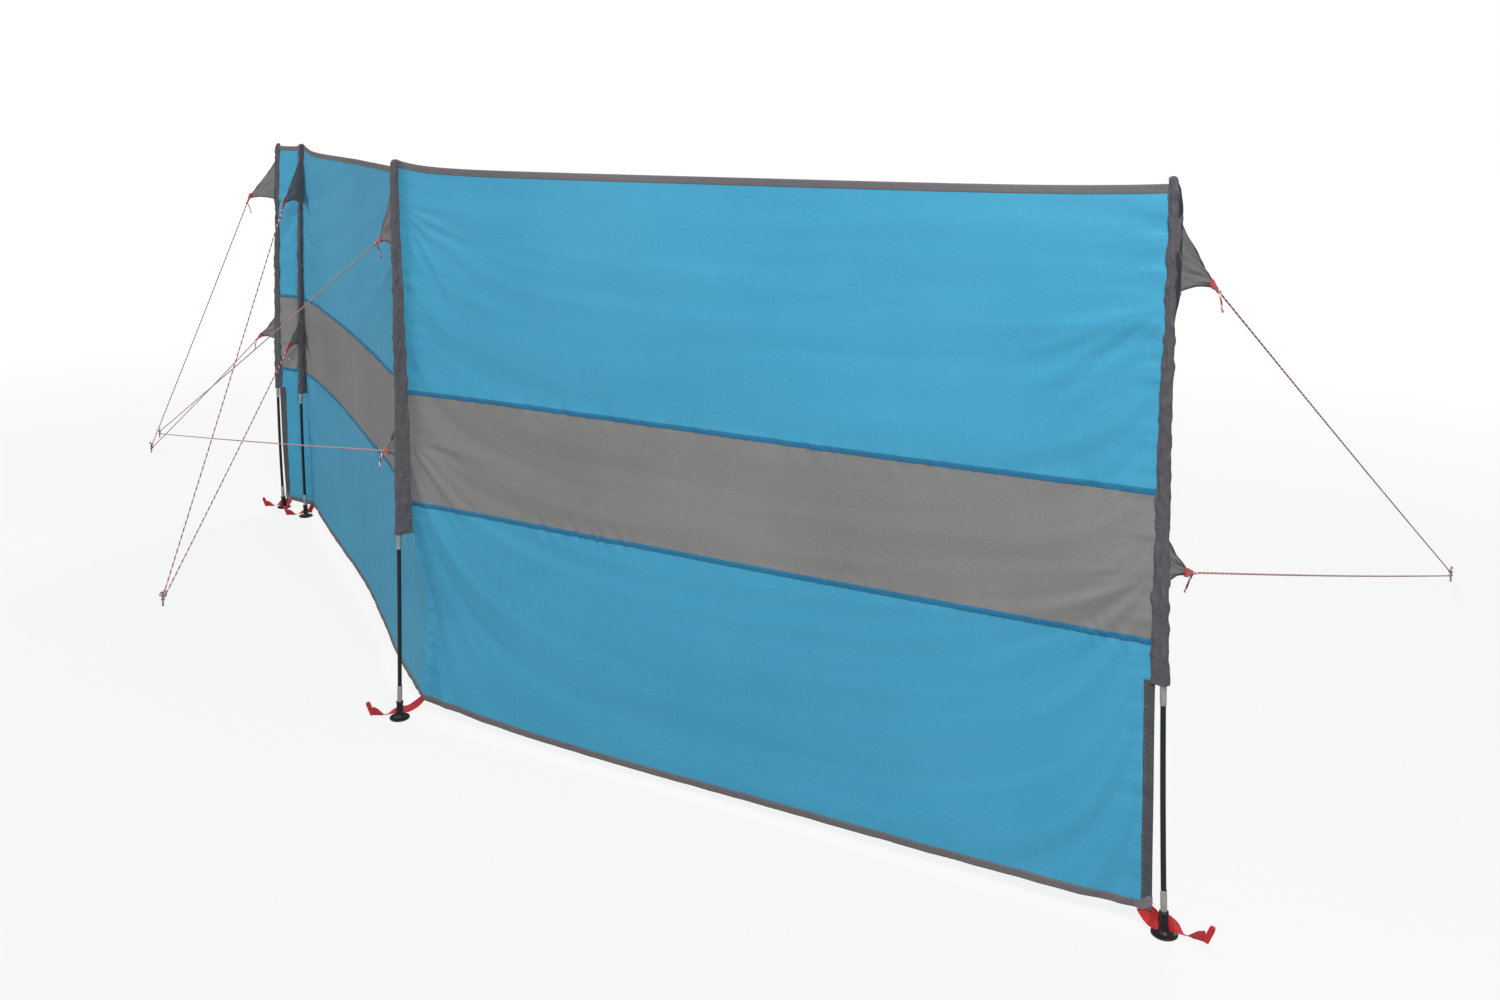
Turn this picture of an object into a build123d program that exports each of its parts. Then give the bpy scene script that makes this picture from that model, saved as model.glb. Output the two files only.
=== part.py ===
from build123d import *
import os
from math import atan2, cos, degrees, radians, sin

# A beach windbreak: four upright poles with three bays of cloth between them.
# The origin is on the ground under the corner pole. +X runs along the long front bay to the
# right end pole, +Y to the rear, and poles and bays are numbered from the right end.

# Plan of the poles, in millimetres and degrees
LONG_BAY_LENGTH = 2000.0
SHORT_BAY_LENGTH = 180.0
MIDDLE_BAY_HEADING = 143.5
SHORT_BAY_HEADING = 165.0

# Heights above the ground
POLE_HEIGHT = 1500.0
CAP_RISE = 16.0
CLOTH_TOP = POLE_HEIGHT - CAP_RISE
CLOTH_FOOT = 40.0
BAND_TOP = 880.0
BAND_FOOT = 580.0
SLEEVE_FOOT = 500.0
JOINT_HEIGHT = 483.0

# Cloth, hems and seam tapes. The edges hang in a shallow arc between the poles.
CLOTH_THICK = 2.0
TRIM_THICK = 1.0
TAPE_HEIGHT = 14.0
TOP_HEM = 18.0
FOOT_HEM = 17.0
END_HEM = 16.0
TOP_SAG_SHARE = 0.0125
FOOT_SAG_SHARE = 0.005

# Sleeves, sewn to the cloth and drawn down over the poles
SLEEVE_WALL = 1.4
SLEEVE_WING = 25.0
SLEEVE_CAP = 12.0
SLEEVE_SEAM_RADIUS = 2.0
SLEEVE_SEAM_DEPTH = 12.0
END_SETBACK = 28.0
CORNER_SETBACK = 48.0
CORNER_SETBACK_HEADING = 52.0
INNER_SETBACK = 24.0
INNER_SETBACK_HEADING = 64.0

# Poles: rods joined by metal ferrules, on moulded feet
ROD_DIAMETER = 11.0
ROD_SEAT = 8.0
FERRULE_WALL = 1.0
JOINT_FERRULE_LENGTH = 47.0
FOOT_FERRULE_LENGTH = 42.0
FOOT_HEIGHT = 46.0
FOOT_DIAMETER = 17.0
FLANGE_DIAMETER = 57.0
FLANGE_THICK = 4.0
FLANGE_RIM = 1.5
FOOT_SIDES = 36
FLARE_RADIUS = 5.0

# Webbing straps at the feet
STRAP_WIDTH = 36.0
STRAP_THICK = 1.6
STRAP_LEAVE_SHARE = 0.6
STRAP_FOLD_SHARE = 0.6
STRAP_INSET = 14.0
STRAP_HOLE_SIDES = 20
RUN_STEPS = 4
STRAP_REACH = 82.0
STRAP_WAIST = 9.0
STRAP_WAIST_AT = 38.0
STRAP_END_WIDTH = 26.0
LOOP_HEIGHT = 34.0
LOOP_GAP = 7.0
LOOP_WIDTH = 22.0
STRAP_HEADINGS = [14.0, 198.0, 198.0, 198.0]

# Guy gussets, webbing tabs, ropes and pegs
GUSSET_THICK = 2.0
GUSSET_TIP = 12.0
GUSSET_HOLLOW = 6.0
UPPER_GUSSET_REACH = 125.0
UPPER_GUSSET_TOP = 1437.0
UPPER_GUSSET_FOOT = 1266.0
UPPER_GUSSET_TIP_HEIGHT = 1290.0
LOWER_GUSSET_REACH = 90.0
LOWER_GUSSET_TOP = 794.0
LOWER_GUSSET_FOOT = 697.0
LOWER_GUSSET_TIP_HEIGHT = 716.0
TAB_LENGTH = 26.0
ROPE_DIAMETER = 4.0
PEG_DIAMETER = 6.0
WIRE_SIDES = 12
PEG_HEIGHT = 40.0
PEG_HOOK_RADIUS = 8.0
HOOK_BENDS = 3
UPPER_ROPE_END = 31.0
LOWER_ROPE_END = 20.0
GUY_HEADINGS = [79.7, 151.2, -70.0, 165.0]
GUY_DISTANCES = [2571.0, 3720.0, 1000.0, 1300.0]

# Clearances
SEAT_GAP = 0.3
ROD_GAP = 0.05
SLOT_GAP = 0.4
CUT_REACH = 60.0


def toward(heading, distance):
    """A step of a given length along a heading on the ground."""
    return Vector(cos(radians(heading)), sin(radians(heading))) * distance


def heading_of(step):
    return degrees(atan2(step.Y, step.X))


corner_pole = Vector(0, 0)
right_pole = toward(0, LONG_BAY_LENGTH)
inner_pole = toward(MIDDLE_BAY_HEADING, LONG_BAY_LENGTH)
left_pole = inner_pole + toward(SHORT_BAY_HEADING, SHORT_BAY_LENGTH)
poles = [right_pole, corner_pole, inner_pole, left_pole]
POLE_NUMBERS = range(1, len(poles) + 1)
FOLDED_POLES = (2, 3)

corner_fold = corner_pole + toward(CORNER_SETBACK_HEADING, CORNER_SETBACK)
inner_fold = inner_pole + toward(INNER_SETBACK_HEADING, INNER_SETBACK)
right_end = right_pole + toward(heading_of(corner_fold - right_pole), END_SETBACK)
left_end = left_pole + toward(heading_of(inner_fold - left_pole), END_SETBACK)
cloth_points = [right_end, corner_fold, inner_fold, left_end]


class Bay:
    """One bay's upright plane: x runs along the cloth to the right, y up and z to the front."""

    def __init__(self, left, right):
        self.left, self.right = left, right
        self.length = (right - left).length
        self.along = (right - left).normalized()
        self.front = self.along.cross(Vector(0, 0, 1))
        self.plane = Plane(origin=left, x_dir=self.along, z_dir=self.front)
        self.left_cut = self.right_cut = None


bays = [Bay(cloth_points[k + 1], cloth_points[k]) for k in range(3)]


def mitre(right_bay, left_bay):
    """Both bays end on the upright plane that halves the fold between them."""
    across = (right_bay.along + left_bay.along).normalized()
    fold = Plane(origin=right_bay.left, z_dir=across)
    right_bay.left_cut = left_bay.right_cut = fold


mitre(bays[0], bays[1])
mitre(bays[1], bays[2])


def edge(start, end, height, sag):
    """A hem line that hangs in an arc."""
    if sag == 0:
        return Line((start, height), (end, height))
    middle = (start + end) / 2
    return ThreePointArc((start, height), (middle, height - sag), (end, height))


def strip(bay, low, high, front, back, low_sag=0.0, high_sag=0.0, left_in=None, right_in=None):
    """Cloth between two heights. An end with no inset is mitred at its fold, or is the cloth's own."""
    past = CLOTH_THICK * 2
    start = -past if bay.left_cut else 0.0
    stop = bay.length + past if bay.right_cut else bay.length
    if left_in is not None:
        start = left_in
    if right_in is not None:
        stop = bay.length - right_in
    lower = edge(start, stop, low, low_sag)
    upper = edge(start, stop, high, high_sag)
    outline = Wire([lower, Line(lower @ 1, upper @ 1), upper, Line(upper @ 0, lower @ 0)])
    solid = extrude(bay.plane.offset(back) * make_face(outline), front - back)
    if left_in is None and bay.left_cut:
        solid = split(solid, bisect_by=bay.left_cut, keep=Keep.TOP)
    if right_in is None and bay.right_cut:
        solid = split(solid, bisect_by=bay.right_cut, keep=Keep.BOTTOM)
    return solid


HALF_CLOTH = CLOTH_THICK / 2
OUTER_TRIM = HALF_CLOTH + TRIM_THICK


def folded(bay, low, high, slot_low, slot_high, low_sag, high_sag, ends, slot_ends):
    """Two leaves of binding on a strip's faces, joined past the cloth's edge."""
    sags = (low_sag, high_sag)
    front_leaf = strip(bay, low, high, OUTER_TRIM, HALF_CLOTH, *sags, **ends)
    back_leaf = strip(bay, low, high, -HALF_CLOTH, -OUTER_TRIM, *sags, **ends)
    turn = strip(bay, slot_low, slot_high, HALF_CLOTH, -HALF_CLOTH, *sags, **slot_ends)
    return front_leaf + turn + back_leaf


def bay_binding(bay, top_stops):
    """Binding folded round the top edge, the bottom edge and, below the sleeve, a free end."""
    top_sag, foot_sag = TOP_SAG_SHARE * bay.length, FOOT_SAG_SHARE * bay.length
    crest, sole = CLOTH_TOP + TRIM_THICK, CLOTH_FOOT - TRIM_THICK
    hem, slot = CLOTH_TOP - TOP_HEM, CLOTH_TOP + SLOT_GAP
    top = folded(bay, hem, crest, slot, crest, top_sag, top_sag, top_stops, top_stops)
    ends = {
        "left_in": None if bay.left_cut else -TRIM_THICK,
        "right_in": None if bay.right_cut else -TRIM_THICK,
    }
    hem, slot = CLOTH_FOOT + FOOT_HEM, CLOTH_FOOT - SLOT_GAP
    foot = folded(bay, sole, hem, sole, slot, foot_sag, foot_sag, ends, ends)
    low, high = CLOTH_FOOT + FOOT_HEM / 2, SLEEVE_FOOT - SEAT_GAP
    for side, other in (("left_in", "right_in"), ("right_in", "left_in")):
        if ends[side] is not None:
            hem_ends = {side: -TRIM_THICK, other: bay.length - END_HEM}
            slot_ends = {side: -TRIM_THICK, other: bay.length + SLOT_GAP}
            foot += folded(bay, low, high, low, high, 0.0, 0.0, hem_ends, slot_ends)
    return Compound(children=[top, foot])


def bay_pieces(number, bay):
    """The three panels, two seam tapes and the binding of one bay."""
    top_sag, foot_sag = TOP_SAG_SHARE * bay.length, FOOT_SAG_SHARE * bay.length
    # Trims above the sleeve's foot stop clear of the sleeve's seam.
    fold_stop, end_stop = SLEEVE_SEAM_RADIUS * 2 + SEAT_GAP, SLEEVE_SEAM_DEPTH + SEAT_GAP
    stops = {
        "left_in": fold_stop if bay.left_cut else end_stop,
        "right_in": fold_stop if bay.right_cut else end_stop,
    }
    tapes = [
        strip(bay, seam - TAPE_HEIGHT / 2, seam + TAPE_HEIGHT / 2, OUTER_TRIM, HALF_CLOTH, **stops)
        for seam in (BAND_FOOT, BAND_TOP)
    ]
    return {
        f"bay_{number}_upper": strip(bay, BAND_TOP, CLOTH_TOP, HALF_CLOTH, -HALF_CLOTH, high_sag=top_sag),
        f"bay_{number}_band": strip(bay, BAND_FOOT, BAND_TOP, HALF_CLOTH, -HALF_CLOTH),
        f"bay_{number}_lower": strip(bay, CLOTH_FOOT, BAND_FOOT, HALF_CLOTH, -HALF_CLOTH, low_sag=foot_sag),
        f"bay_{number}_seam_tapes": Compound(children=tapes),
        f"bay_{number}_binding": bay_binding(bay, stops),
    }


ROD_RADIUS = ROD_DIAMETER / 2
FERRULE_RADIUS = ROD_RADIUS + ROD_GAP + FERRULE_WALL
SLEEVE_INNER = FERRULE_RADIUS + SEAT_GAP
SLEEVE_OUTER = SLEEVE_INNER + SLEEVE_WALL


def flat(point):
    return (point.X, point.Y)


def hull_of(*discs):
    """The outline that a band stretched round some discs takes."""
    rings = [(Pos(*flat(centre)) * Circle(radius)).edge() for centre, radius in discs]
    return make_hull(rings)


def sleeve_section(number, radius, seam_radius, seam_depth):
    """A sleeve's outline seen from above. At an end pole its seam grips the cloth to a given depth."""
    pole = poles[number - 1]
    seam = cloth_points[number - 1]
    if number in FOLDED_POLES:
        return hull_of((pole, radius), (seam, seam_radius))
    outward = (pole - seam).normalized()
    held = seam - outward * seam_depth
    return hull_of((pole, radius), (held, seam_radius), (pole + outward * SLEEVE_WING, seam_radius))


def sleeve_outline(number):
    seam_depth = SLEEVE_SEAM_DEPTH - SLEEVE_SEAM_RADIUS
    return sleeve_section(number, SLEEVE_OUTER, SLEEVE_SEAM_RADIUS, seam_depth)


def behind_fold(right_bay, left_bay):
    """The ground that the folded cloth stands on and all behind it."""
    fold = right_bay.left
    middle = (right_bay.front + left_bay.front).normalized()
    tip = fold + middle * (HALF_CLOTH / middle.dot(right_bay.front))
    right_far = tip + right_bay.along * CUT_REACH
    left_far = tip - left_bay.along * CUT_REACH
    corners = [
        tip, right_far, right_far - right_bay.front * CUT_REACH,
        fold - middle * CUT_REACH * 2,
        left_far - left_bay.front * CUT_REACH, left_far,
    ]
    return make_face(Polyline([flat(c) for c in corners], close=True))


def beside_end(bay, end, inward):
    """The slot that a sleeve's seam leaves for the cloth's end."""
    side = bay.front * HALF_CLOTH
    far = end + inward * CUT_REACH
    corners = [end + side, far + side, far - side, end - side]
    return make_face(Polyline([flat(c) for c in corners], close=True))


def cloth_footprint(number):
    if number == 2:
        return behind_fold(bays[0], bays[1])
    if number == 3:
        return behind_fold(bays[1], bays[2])
    bay = bays[0] if number == 1 else bays[2]
    return beside_end(bay, cloth_points[number - 1], -bay.along if number == 1 else bay.along)


def upright(section, low, high):
    return extrude(Pos(0, 0, low) * section, high - low)


def sleeve(number):
    """A cloth tube, open at its foot and closed by a rounded cap over the pole's tip."""
    outside = sleeve_outline(number)
    inside = sleeve_section(number, SLEEVE_INNER, SLEEVE_SEAM_RADIUS - SLEEVE_WALL, 0.0)
    tube = upright(outside - cloth_footprint(number), SLEEVE_FOOT, POLE_HEIGHT)
    bore = upright(inside - cloth_footprint(number), SLEEVE_FOOT, POLE_HEIGHT - SLEEVE_CAP)
    pole = poles[number - 1]
    wing = cloth_points[number - 1] - pole
    front = Plane(origin=pole, x_dir=wing, z_dir=wing.cross(Vector(0, 0, 1)))
    if number in FOLDED_POLES:
        near, far = SLEEVE_OUTER, wing.length + SLEEVE_SEAM_RADIUS
    else:
        near, far = SLEEVE_WING + SLEEVE_SEAM_RADIUS, wing.length + SLEEVE_SEAM_DEPTH
    profile = Pos((far - near) / 2, POLE_HEIGHT / 2) * RectangleRounded(near + far, POLE_HEIGHT, SLEEVE_CAP)
    return (tube - bore) & extrude(front * profile, SLEEVE_OUTER * 2, both=True)


def pole_rods(number):
    """Two rod lengths that meet inside the joint ferrule."""
    place = Pos(*flat(poles[number - 1]))
    pieces = []
    top = POLE_HEIGHT - SLEEVE_CAP - SEAT_GAP
    for low, high in ((ROD_SEAT, JOINT_HEIGHT - SEAT_GAP), (JOINT_HEIGHT + SEAT_GAP, top)):
        pieces.append(place * upright(Circle(ROD_RADIUS), low, high))
    return Compound(children=pieces)


def pole_ferrules(number):
    place = Pos(*flat(poles[number - 1]))
    ring = Circle(FERRULE_RADIUS) - Circle(ROD_RADIUS + ROD_GAP)
    half = JOINT_FERRULE_LENGTH / 2
    spans = ((FOOT_HEIGHT, FOOT_HEIGHT + FOOT_FERRULE_LENGTH), (JOINT_HEIGHT - half, JOINT_HEIGHT + half))
    return Compound(children=[place * upright(ring, low, high) for low, high in spans])


def foot(number):
    """A moulded foot: a tube that flares into a flange, with a blind seat for the rod."""
    # Its outside has many short sides in place of true circles, which keeps its faces few.
    tube, flared, rim = [
        RegularPolygon(radius, FOOT_SIDES)
        for radius in (FOOT_DIAMETER / 2, FOOT_DIAMETER / 2 + FLARE_RADIUS, FLANGE_DIAMETER / 2)
    ]
    flange = upright(rim, 0, FLANGE_THICK)
    flange = chamfer(flange.edges().group_by(Axis.Z)[-1], FLANGE_RIM)
    flare_top = FLANGE_THICK + FLARE_RADIUS
    flare = loft([Pos(0, 0, FLANGE_THICK) * flared, Pos(0, 0, flare_top) * tube], ruled=True)
    seat = upright(Circle(ROD_RADIUS + ROD_GAP), ROD_SEAT, FOOT_HEIGHT)
    return Pos(*flat(poles[number - 1])) * (flange + flare + upright(tube, flare_top, FOOT_HEIGHT) - seat)


def webbing_run(plane, start, stop, width):
    """Webbing that leaves the foot flat along x and curves up to a hem, narrowing as it goes."""
    sections = []
    for step in range(RUN_STEPS + 1):
        t = step / RUN_STEPS
        bend = start * (1 - t) ** 2 + Vector(stop.X, 0, start.Z) * 2 * t * (1 - t) + stop * t**2
        along = Vector(stop.X - start.X, 0, 0) * (1 - t) + Vector(0, 0, stop.Z - start.Z) * t
        wide = STRAP_WIDTH + (width - STRAP_WIDTH) * t
        section = Plane(origin=bend, x_dir=(0, 1, 0), z_dir=along) * Rectangle(wide, STRAP_THICK)
        sections.append(plane * section)
    return loft(sections, ruled=True)


def hem_dip(inset):
    """How far a bottom hem has sagged a little way in from its end."""
    return 4 * FOOT_SAG_SHARE * inset


def strap(number):
    """Webbing from the cloth's bottom corner, over the foot's flange and out to a peg loop."""
    pole, seam = poles[number - 1], cloth_points[number - 1]
    inward = Plane(origin=pole, x_dir=seam - pole, z_dir=(0, 0, 1))
    top = FLANGE_THICK + STRAP_THICK
    # It meets the hem at the fold, or a little way in from the cloth's free end.
    inset = 0.0 if number in FOLDED_POLES else STRAP_INSET
    reach = (seam - pole).length + inset
    leave = reach * STRAP_LEAVE_SHARE
    start = Vector(leave, 0, FLANGE_THICK + STRAP_THICK / 2)
    stop = Vector(reach, 0, CLOTH_FOOT - TRIM_THICK - SEAT_GAP - hem_dip(inset))
    run = webbing_run(inward, start, stop, STRAP_WIDTH * STRAP_FOLD_SHARE)
    lead = inward * upright(Pos(leave / 2) * Rectangle(leave, STRAP_WIDTH), FLANGE_THICK, top)
    # The tail narrows at its twist, widens again and ends in a folded loop.
    out = toward(STRAP_HEADINGS[number - 1], 1)
    outward = Plane(origin=pole, x_dir=out, z_dir=(0, 0, 1))
    half, waist, end = STRAP_WIDTH / 2, STRAP_WAIST / 2, STRAP_END_WIDTH / 2
    shape = Polyline(
        (-half, half), (half, half), (STRAP_WAIST_AT, waist), (STRAP_REACH, end),
        (STRAP_REACH, -end), (STRAP_WAIST_AT, -waist), (half, -half), (-half, -half), close=True,
    )
    tail = outward * upright(make_face(shape), FLANGE_THICK, top)
    outer = SlotOverall(LOOP_HEIGHT, LOOP_GAP + STRAP_THICK * 2)
    inner = SlotOverall(LOOP_HEIGHT - STRAP_THICK * 2, LOOP_GAP)
    loop_side = Vector(0, LOOP_WIDTH / 2, FLANGE_THICK + LOOP_HEIGHT / 2)
    loop_plane = Plane(origin=pole + out * STRAP_REACH + loop_side, x_dir=(0, 0, 1), z_dir=(0, -1, 0))
    loop = extrude(loop_plane * (outer - inner), LOOP_WIDTH)
    opening = extrude(loop_plane * inner, LOOP_WIDTH)
    clear = FOOT_DIAMETER / 2 + FLARE_RADIUS + SEAT_GAP
    around_tube = RegularPolygon(clear, STRAP_HOLE_SIDES, major_radius=False)
    hole = Pos(*flat(pole)) * upright(around_tube, 0, FOOT_HEIGHT)
    return (lead + run + (tail - opening) + loop) - hole


def guy_frame(number):
    """Upright plane of a pole's guys: x runs out from the pole's axis and y up."""
    out = toward(GUY_HEADINGS[number - 1], 1)
    return Plane(origin=poles[number - 1], x_dir=out, z_dir=out.cross(Vector(0, 0, 1)))


GUYS = [
    {
        "top": UPPER_GUSSET_TOP, "foot": UPPER_GUSSET_FOOT, "rope_end": UPPER_ROPE_END,
        "tip": Vector(UPPER_GUSSET_REACH, UPPER_GUSSET_TIP_HEIGHT),
    },
    {
        "top": LOWER_GUSSET_TOP, "foot": LOWER_GUSSET_FOOT, "rope_end": LOWER_ROPE_END,
        "tip": Vector(LOWER_GUSSET_REACH, LOWER_GUSSET_TIP_HEIGHT),
    },
]


def guy_line(number, guy):
    """Where a rope meets its peg, and the direction from its gusset's tip to there."""
    axis = Vector(GUY_DISTANCES[number - 1], guy["rope_end"])
    slope = (axis - guy["tip"]).normalized()
    peg = axis - Vector(PEG_DIAMETER / 2 + SEAT_GAP - slope.Y * ROPE_DIAMETER / 2, 0)
    return peg, (peg - guy["tip"]).normalized()


def gussets(number):
    """Two triangles of cloth on the sleeve, which spread each rope's pull. Their lower edges curve in."""
    plane = guy_frame(number).offset(-GUSSET_THICK / 2)
    body = upright(sleeve_outline(number), SLEEVE_FOOT, POLE_HEIGHT)
    pieces = []
    for guy in GUYS:
        half = Vector(0, GUSSET_TIP / 2)
        top, low = Vector(SLEEVE_OUTER, guy["top"]), Vector(SLEEVE_OUTER, guy["foot"])
        crown, heel = guy["tip"] + half, guy["tip"] - half
        hollow = (heel + low) / 2 + Vector(0, GUSSET_HOLLOW)
        seam = Polyline(low, (0, low.Y), (0, top.Y), top, crown, heel)
        shape = make_face([*seam.edges(), ThreePointArc(heel, hollow, low)])
        pieces.append(extrude(plane * shape, GUSSET_THICK) - body)
    return Compound(children=pieces)


def tabs():
    """Webbing tabs at the gussets' tips, which the ropes are tied to."""
    pieces = []
    half = Vector(0, GUSSET_TIP / 2)
    for number in POLE_NUMBERS:
        plane = guy_frame(number).offset(-GUSSET_THICK / 2)
        for guy in GUYS:
            way = guy_line(number, guy)[1]
            across = Vector(-way.Y, way.X) * GUSSET_TIP / 2
            tip, far = guy["tip"], guy["tip"] + way * TAB_LENGTH
            shape = Polyline(tip + half, far + across, far - across, tip - half, close=True)
            pieces.append(extrude(plane * make_face(shape), GUSSET_THICK))
    return Compound(children=pieces)


def guy_ropes(number):
    """A pole's two taut ropes, from its tabs down to one peg."""
    frame = guy_frame(number)
    pieces = []
    for guy in GUYS:
        peg, way = guy_line(number, guy)
        start = frame.from_local_coords(guy["tip"] + way * (TAB_LENGTH + SEAT_GAP))
        run = frame.from_local_coords(peg) - start
        pieces.append(Solid.make_cylinder(ROPE_DIAMETER / 2, run.length, Plane(origin=start, z_dir=run)))
    return Compound(children=pieces)


def guy_pegs():
    """Hooked pegs, from ground level up."""
    pieces = []
    for number in POLE_NUMBERS:
        frame = guy_frame(number)
        foot_point = Vector(GUY_DISTANCES[number - 1], 0)
        centre = foot_point + Vector(PEG_HOOK_RADIUS, PEG_HEIGHT)
        turns = [180 - 180 * step / HOOK_BENDS for step in range(HOOK_BENDS + 1)]
        hook = [centre + toward(turn, PEG_HOOK_RADIUS) for turn in turns]
        path = frame * Polyline([flat(point) for point in (foot_point, *hook)])
        ground = Plane(origin=frame.from_local_coords(foot_point), z_dir=(0, 0, 1))
        section = RegularPolygon(PEG_DIAMETER / 2, WIRE_SIDES, major_radius=False)
        wire = sweep(ground * section, path=path, transition=Transition.RIGHT)
        pieces.append(wire)
    return Compound(children=pieces)


def all_pieces():
    pieces = {}
    for number, bay in enumerate(bays, start=1):
        pieces.update(bay_pieces(number, bay))
    for number in POLE_NUMBERS:
        pieces[f"pole_{number}_sleeve"] = sleeve(number)
        pieces[f"pole_{number}_rods"] = pole_rods(number)
        pieces[f"pole_{number}_ferrules"] = pole_ferrules(number)
        pieces[f"pole_{number}_foot"] = foot(number)
        pieces[f"pole_{number}_strap"] = strap(number)
        pieces[f"pole_{number}_gussets"] = gussets(number)
        pieces[f"pole_{number}_guy_ropes"] = guy_ropes(number)
    pieces["guy_tabs"] = tabs()
    pieces["guy_pegs"] = guy_pegs()
    return pieces


os.makedirs("parts", exist_ok=True)
for name, piece in all_pieces().items():
    export_step(piece, f"parts/{name}.step")
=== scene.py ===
import math

import bmesh
import bpy
import numpy as np
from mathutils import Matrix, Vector


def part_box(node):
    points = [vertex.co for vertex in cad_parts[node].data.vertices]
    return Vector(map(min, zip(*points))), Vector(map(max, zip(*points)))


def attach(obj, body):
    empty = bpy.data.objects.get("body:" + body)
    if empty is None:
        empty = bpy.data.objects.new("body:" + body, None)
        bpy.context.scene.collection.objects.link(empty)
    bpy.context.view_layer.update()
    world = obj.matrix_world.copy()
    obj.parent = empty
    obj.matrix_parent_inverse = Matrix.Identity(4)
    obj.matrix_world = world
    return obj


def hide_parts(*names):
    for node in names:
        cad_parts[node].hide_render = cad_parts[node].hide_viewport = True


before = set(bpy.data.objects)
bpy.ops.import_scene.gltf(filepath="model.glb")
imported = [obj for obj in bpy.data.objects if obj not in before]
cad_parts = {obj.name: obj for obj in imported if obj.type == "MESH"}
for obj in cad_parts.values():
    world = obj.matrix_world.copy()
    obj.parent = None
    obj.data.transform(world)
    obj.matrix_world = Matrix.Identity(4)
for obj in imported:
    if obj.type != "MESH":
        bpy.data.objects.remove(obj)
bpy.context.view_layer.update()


# The studio: a large pale floor and a white surround, with a soft lamp high on the right, a
# weaker one on the left and one behind. The camera stands at eye level before the long bay.
EYE = Vector((2.51, -2.666, 1.62))
LOOK_HEADING = math.radians(118.4)
LOOK_DOWN = math.radians(2.72)
LENS_MM = 32.3
SENSOR_MM = 36.0
SHIFT_DOWN = 0.215
FLOOR_REACH = 40.0
PALE = "B4B4B2"
# Away from the object the floor's glow rises to the surround's white, so no horizon shows.
NEAR_GLOW = 0.83
FADE_START, FADE_STOP = 3.0, 8.0
SURROUND_LIGHT = 0.32
SHARP_ANGLE = math.radians(50)


def linear(hex_colour):
    """An sRGB hex colour as the linear colour that a shader takes."""
    parts = [int(hex_colour[k : k + 2], 16) / 255 for k in (0, 2, 4)]
    return (*(p / 12.92 if p <= 0.04045 else ((p + 0.055) / 1.055) ** 2.4 for p in parts), 1.0)


def add_node(tree, kind, inputs=None, **settings):
    """Adds a node, sets what it holds, and fills or links its inputs."""
    made = tree.nodes.new(kind)
    for name, value in settings.items():
        setattr(made, name, value)
    for name, value in (inputs or {}).items():
        if isinstance(value, bpy.types.NodeSocket):
            tree.links.new(value, made.inputs[name])
        else:
            made.inputs[name].default_value = value
    return made


def new_finish(name, **sockets):
    """A material with its surface shader, ready for its own pattern."""
    material = bpy.data.materials.new(name)
    material.use_nodes = True
    shader = material.node_tree.nodes["Principled BSDF"]
    for socket, value in sockets.items():
        shader.inputs[socket.replace("_", " ")].default_value = value
    return material, material.node_tree, shader


def patterned(tree, shader, tone, low, high, relief=None, strength=0.0, depth=0.0):
    """Colours a surface between two hex colours by a pattern, and may raise it by another one."""
    colour = add_node(
        tree, "ShaderNodeMix", {"Factor": tone, 6: linear(low), 7: linear(high)}, data_type="RGBA"
    )
    tree.links.new(colour.outputs[2], shader.inputs["Base Color"])
    if relief is not None:
        bump = add_node(tree, "ShaderNodeBump", {"Height": relief, "Strength": strength, "Distance": depth})
        tree.links.new(bump.outputs["Normal"], shader.inputs["Normal"])


def put_in_scene(name, data):
    """A new object at the origin that holds a mesh, a lamp or a camera."""
    item = bpy.data.objects.new(name, data)
    bpy.context.scene.collection.objects.link(item)
    return item


def add_piece(name, points, faces, material):
    """A smooth-shaded mesh object at the origin."""
    mesh = bpy.data.meshes.new(name)
    mesh.from_pydata([tuple(p) for p in points], [], [tuple(f) for f in faces])
    mesh.materials.append(material)
    mesh.shade_smooth()
    mesh.set_sharp_from_angle(angle=SHARP_ANGLE)
    return put_in_scene(name, mesh)


# Matt floor paint: an even pale grey that takes the object's soft shadow.
floor_paint, floor_tree, floor_shader = new_finish(
    "matt_floor_paint", Roughness=0.9, Emission_Color=linear("FFFFFF")
)
seen = add_node(floor_tree, "ShaderNodeLightPath").outputs["Is Camera Ray"]
ground = add_node(floor_tree, "ShaderNodeTexCoord").outputs["Object"]
distance = add_node(floor_tree, "ShaderNodeVectorMath", {0: ground}, operation="LENGTH").outputs["Value"]
far = add_node(
    floor_tree, "ShaderNodeMapRange",
    {"Value": distance, "From Min": FADE_START, "From Max": FADE_STOP, "To Min": NEAR_GLOW, "To Max": 1.0},
    interpolation_type="SMOOTHSTEP",
).outputs["Result"]
glow = add_node(floor_tree, "ShaderNodeMath", {0: seen, 1: far}, operation="MULTIPLY").outputs[0]
patterned(floor_tree, floor_shader, glow, PALE, "000000")
floor_tree.links.new(glow, floor_shader.inputs["Emission Strength"])
sides = ((-1, -1, 0), (1, -1, 0), (1, 1, 0), (-1, 1, 0))
floor = add_piece("floor", [Vector(side) * FLOOR_REACH for side in sides], [(0, 1, 2, 3)], floor_paint)

world = bpy.data.worlds.new("white_surround")
bpy.context.scene.world = world
world.use_nodes = True
surround = world.node_tree.nodes["Background"]
seen = add_node(world.node_tree, "ShaderNodeLightPath").outputs["Is Camera Ray"]
level = add_node(
    world.node_tree, "ShaderNodeMapRange", {"Value": seen, "To Min": SURROUND_LIGHT, "To Max": 1.0}
)
world.node_tree.links.new(level.outputs["Result"], surround.inputs["Strength"])
surround.inputs["Color"].default_value = linear("FFFFFF")


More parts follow.
